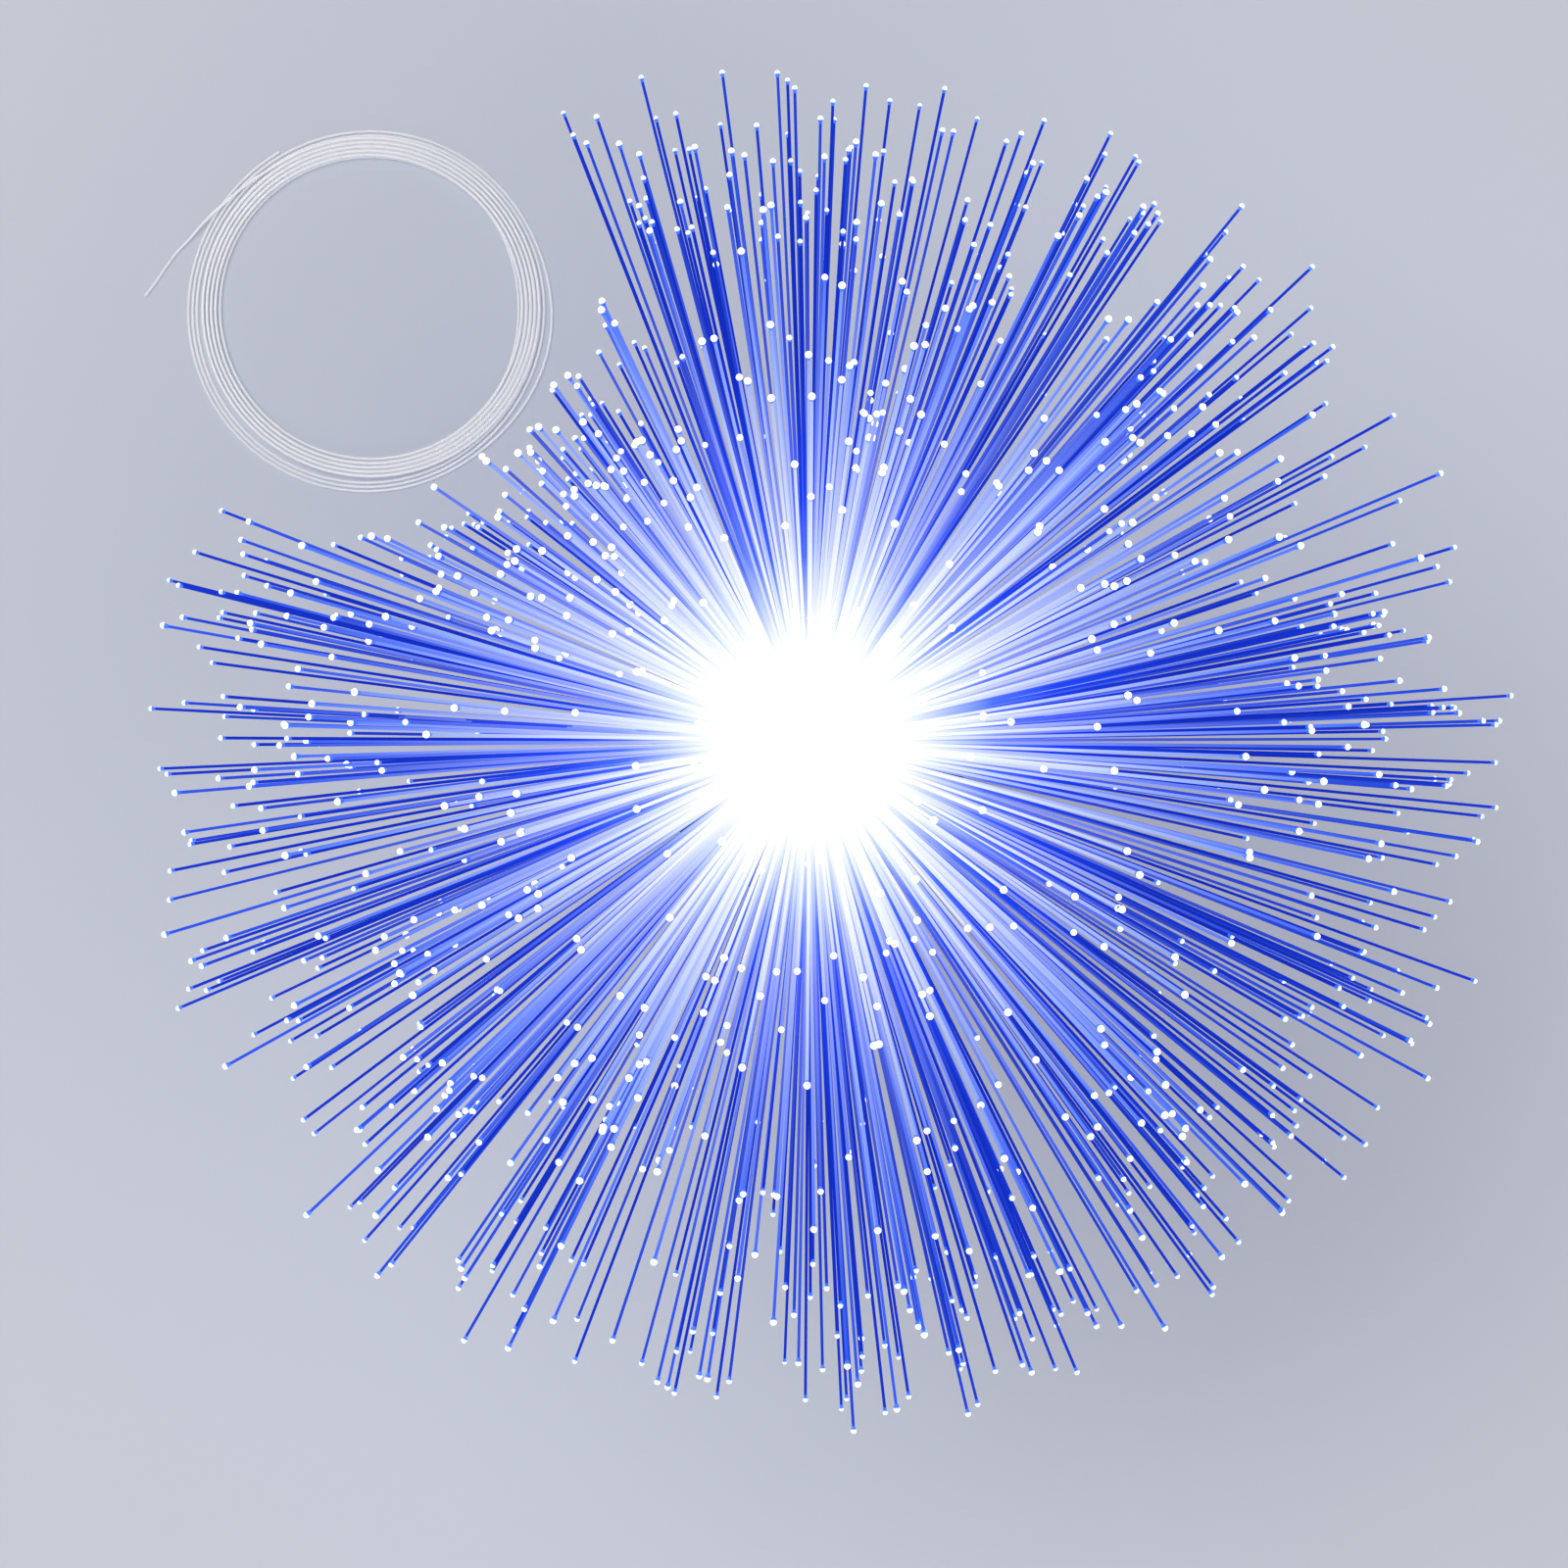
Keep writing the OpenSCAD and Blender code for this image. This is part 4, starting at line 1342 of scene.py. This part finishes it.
@dataclass(frozen=True)
class BaseShell:
    """The bell-shaped base: a merged copy of its CAD node, which shows the round sides smooth."""

    node: str = "base_shell"
    sharp: float = 20

    def build(self, source: Piece) -> Piece:
        """Copy the node with its dressed material and let the copy stand for it.

        Args:
            source: The CAD node.

        Returns:
            The piece.
        """
        shape = bmesh.new()
        shape.from_mesh(source.data)
        bmesh.ops.remove_doubles(shape, verts=shape.verts, dist=MERGE)
        piece = add_piece("bell_shell", shape, source.data.materials[0], self.sharp)
        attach(piece, Body.BASE.value)
        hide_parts(self.node)
        return piece


class Finishes:
    """Materials of the CAD nodes that stay in view."""

    def __init__(self) -> None:
        """Make each material once and say which nodes have it."""
        low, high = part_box("power_button")
        cell_low, cell_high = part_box("aa_cells")
        finishes = {
            Moulded("gloss_black", "15161a", roughness=0.3, grain=700.0, depth=0.004 * MM, coat=0.4): (
                "base_shell",),
            Moulded("grained_black", "1b1c20", roughness=0.52): ("base_plate", "battery_cover"),
            Moulded("foot_rubber", "232325", roughness=0.8, grain=1700.0, depth=0.05 * MM): (
                "rubber_feet", "grip_ring"),
            Moulded("cage_grey", "3a3c42", roughness=0.5): ("battery_cage",),
            Moulded("chip_black", "1e1f23", roughness=0.48, grain=3600.0): ("board_parts", "switch_body"),
            Moulded("red_wire", "b0262a", roughness=0.36, grain=900.0, depth=0.01 * MM): ("light_wires",),
            Moulded("grey_wire", "4a4d54", roughness=0.36, grain=900.0, depth=0.01 * MM): ("switch_wires",),
            Moulded("plunger_white", "dcd9cf", roughness=0.42): ("switch_plunger",),
            Plated("screw_zinc", "c4c8ce"): ("plate_screws", "cage_screws", "board_screws", "light_screws"),
            Plated("contact_nickel", "d8dade", roughness=0.24): ("top_contacts", "cover_contacts"),
            Plated("reflector_chrome", "eceef2", roughness=0.14): ("reflector",),
            Turned("turned_aluminium", "c3c8d0"): ("socket_sleeve", "ferrule"),
            Spun("button_silver", "b9bec6", (low[2] + high[2]) / 2): ("power_button",),
            CellJacket("cell_jacket", "6d7a86", cell_low[2], cell_high[2]): ("aa_cells",),
            Circuit("board_green", "0e5429", "1b7a3d"): ("control_board", "switch_board"),
            Circuit("board_white", "e2e5e8", "cfd5dc"): ("light_board",),
            Glow("light_lens"): ("light_source",),
        }
        self.by_node = {}
        for finish, names in finishes.items():
            self.by_node.update(dict.fromkeys(names, finish.build()))

    def dress(self, nodes: dict[str, Piece]) -> None:
        """Give each CAD node its material.

        Args:
            nodes: The CAD nodes by name.
        """
        for name, material in self.by_node.items():
            slots = nodes[name].data.materials
            slots.clear()
            slots.append(material)
            LOG.info("%s: %s", name, material.name)


class SoftBox(NamedTuple):
    """A soft light: its place, its width and its power."""

    place: Point
    width: float
    power: float


@dataclass(frozen=True)
class Studio:
    """Floor, soft light and the camera straight above the lamp."""

    camera_z: float = 1.06
    lens: float = 86.2
    sensor: float = 36.0
    image_px: float = 1600.0
    core_px: Pair = (826.0, 756.0)
    floor_half: float = 4.0
    sky: Colour = (0.369, 0.378, 0.396, 1.0)
    lights: tuple[SoftBox, ...] = (
        SoftBox((-0.9, 0.7, 1.7), 1.4, 21.0), SoftBox((1.1, -0.6, 1.5), 1.8, 12.0),
        SoftBox((0.1, -1.5, 0.8), 1.2, 6.0))
    aim: Point = (0, 0, 0.1)

    def build(self) -> None:
        """Make the stage."""
        self.camera()
        self.floor()
        for number, box in enumerate(self.lights):
            self.light(f"soft_box_{number}", box)
        graph = Graph(bpy.data.worlds.new("studio"))
        seen = Sock(graph, graph.node("ShaderNodeLightPath", {}, {}).outputs["Is Camera Ray"])
        bpy.context.scene.world = graph.finish(Color=graph.mix(seen, self.sky, srgb(BACKDROP)))
        bpy.context.scene.view_settings.view_transform = "Standard"

    def camera(self) -> None:
        """Look straight down, with the lamp's axis where the photograph has it."""
        data = bpy.data.cameras.new("camera")
        data.lens = self.lens
        data.sensor_width = self.sensor
        data.shift_x = (self.image_px / 2 - self.core_px[0]) / self.image_px
        data.shift_y = (self.core_px[1] - self.image_px / 2) / self.image_px
        camera = add_object("camera", data)
        camera.location = (0, 0, self.camera_z)
        bpy.context.scene.camera = camera

    def floor(self) -> None:
        """Lay the pale floor."""
        shape = bmesh.new()
        bmesh.ops.create_grid(shape, x_segments=1, y_segments=1, size=self.floor_half)
        add_piece("floor", shape, PaleFloor().build())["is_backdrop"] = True

    def light(self, name: str, box: SoftBox) -> None:
        """Hang a soft light that points at the lamp.

        Args:
            name: The light's name.
            box: Its place, width and power.
        """
        data = bpy.data.lights.new(name, "AREA")
        data.size = box.width
        data.energy = box.power
        lamp = add_object(name, data)
        lamp.location = box.place
        way = Vector(self.aim) - Vector(box.place)
        lamp.rotation_euler = way.to_track_quat("-Z", "Y").to_euler()


def corners() -> list[list[float]]:
    """Return the object's lowest and highest corner as plain numbers."""
    return [[float(value) for value in corner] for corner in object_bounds()]


def main() -> None:
    """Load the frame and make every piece."""
    logging.basicConfig(level=logging.INFO, format="%(name)s: %(message)s")
    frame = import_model()
    Studio().build()
    SpareCoil().build()
    FibreSpray().build(FibreLight())
    Finishes().dress(frame["nodes"])
    BaseShell().build(frame["nodes"]["base_shell"])


if __name__ == "__main__":
    main()
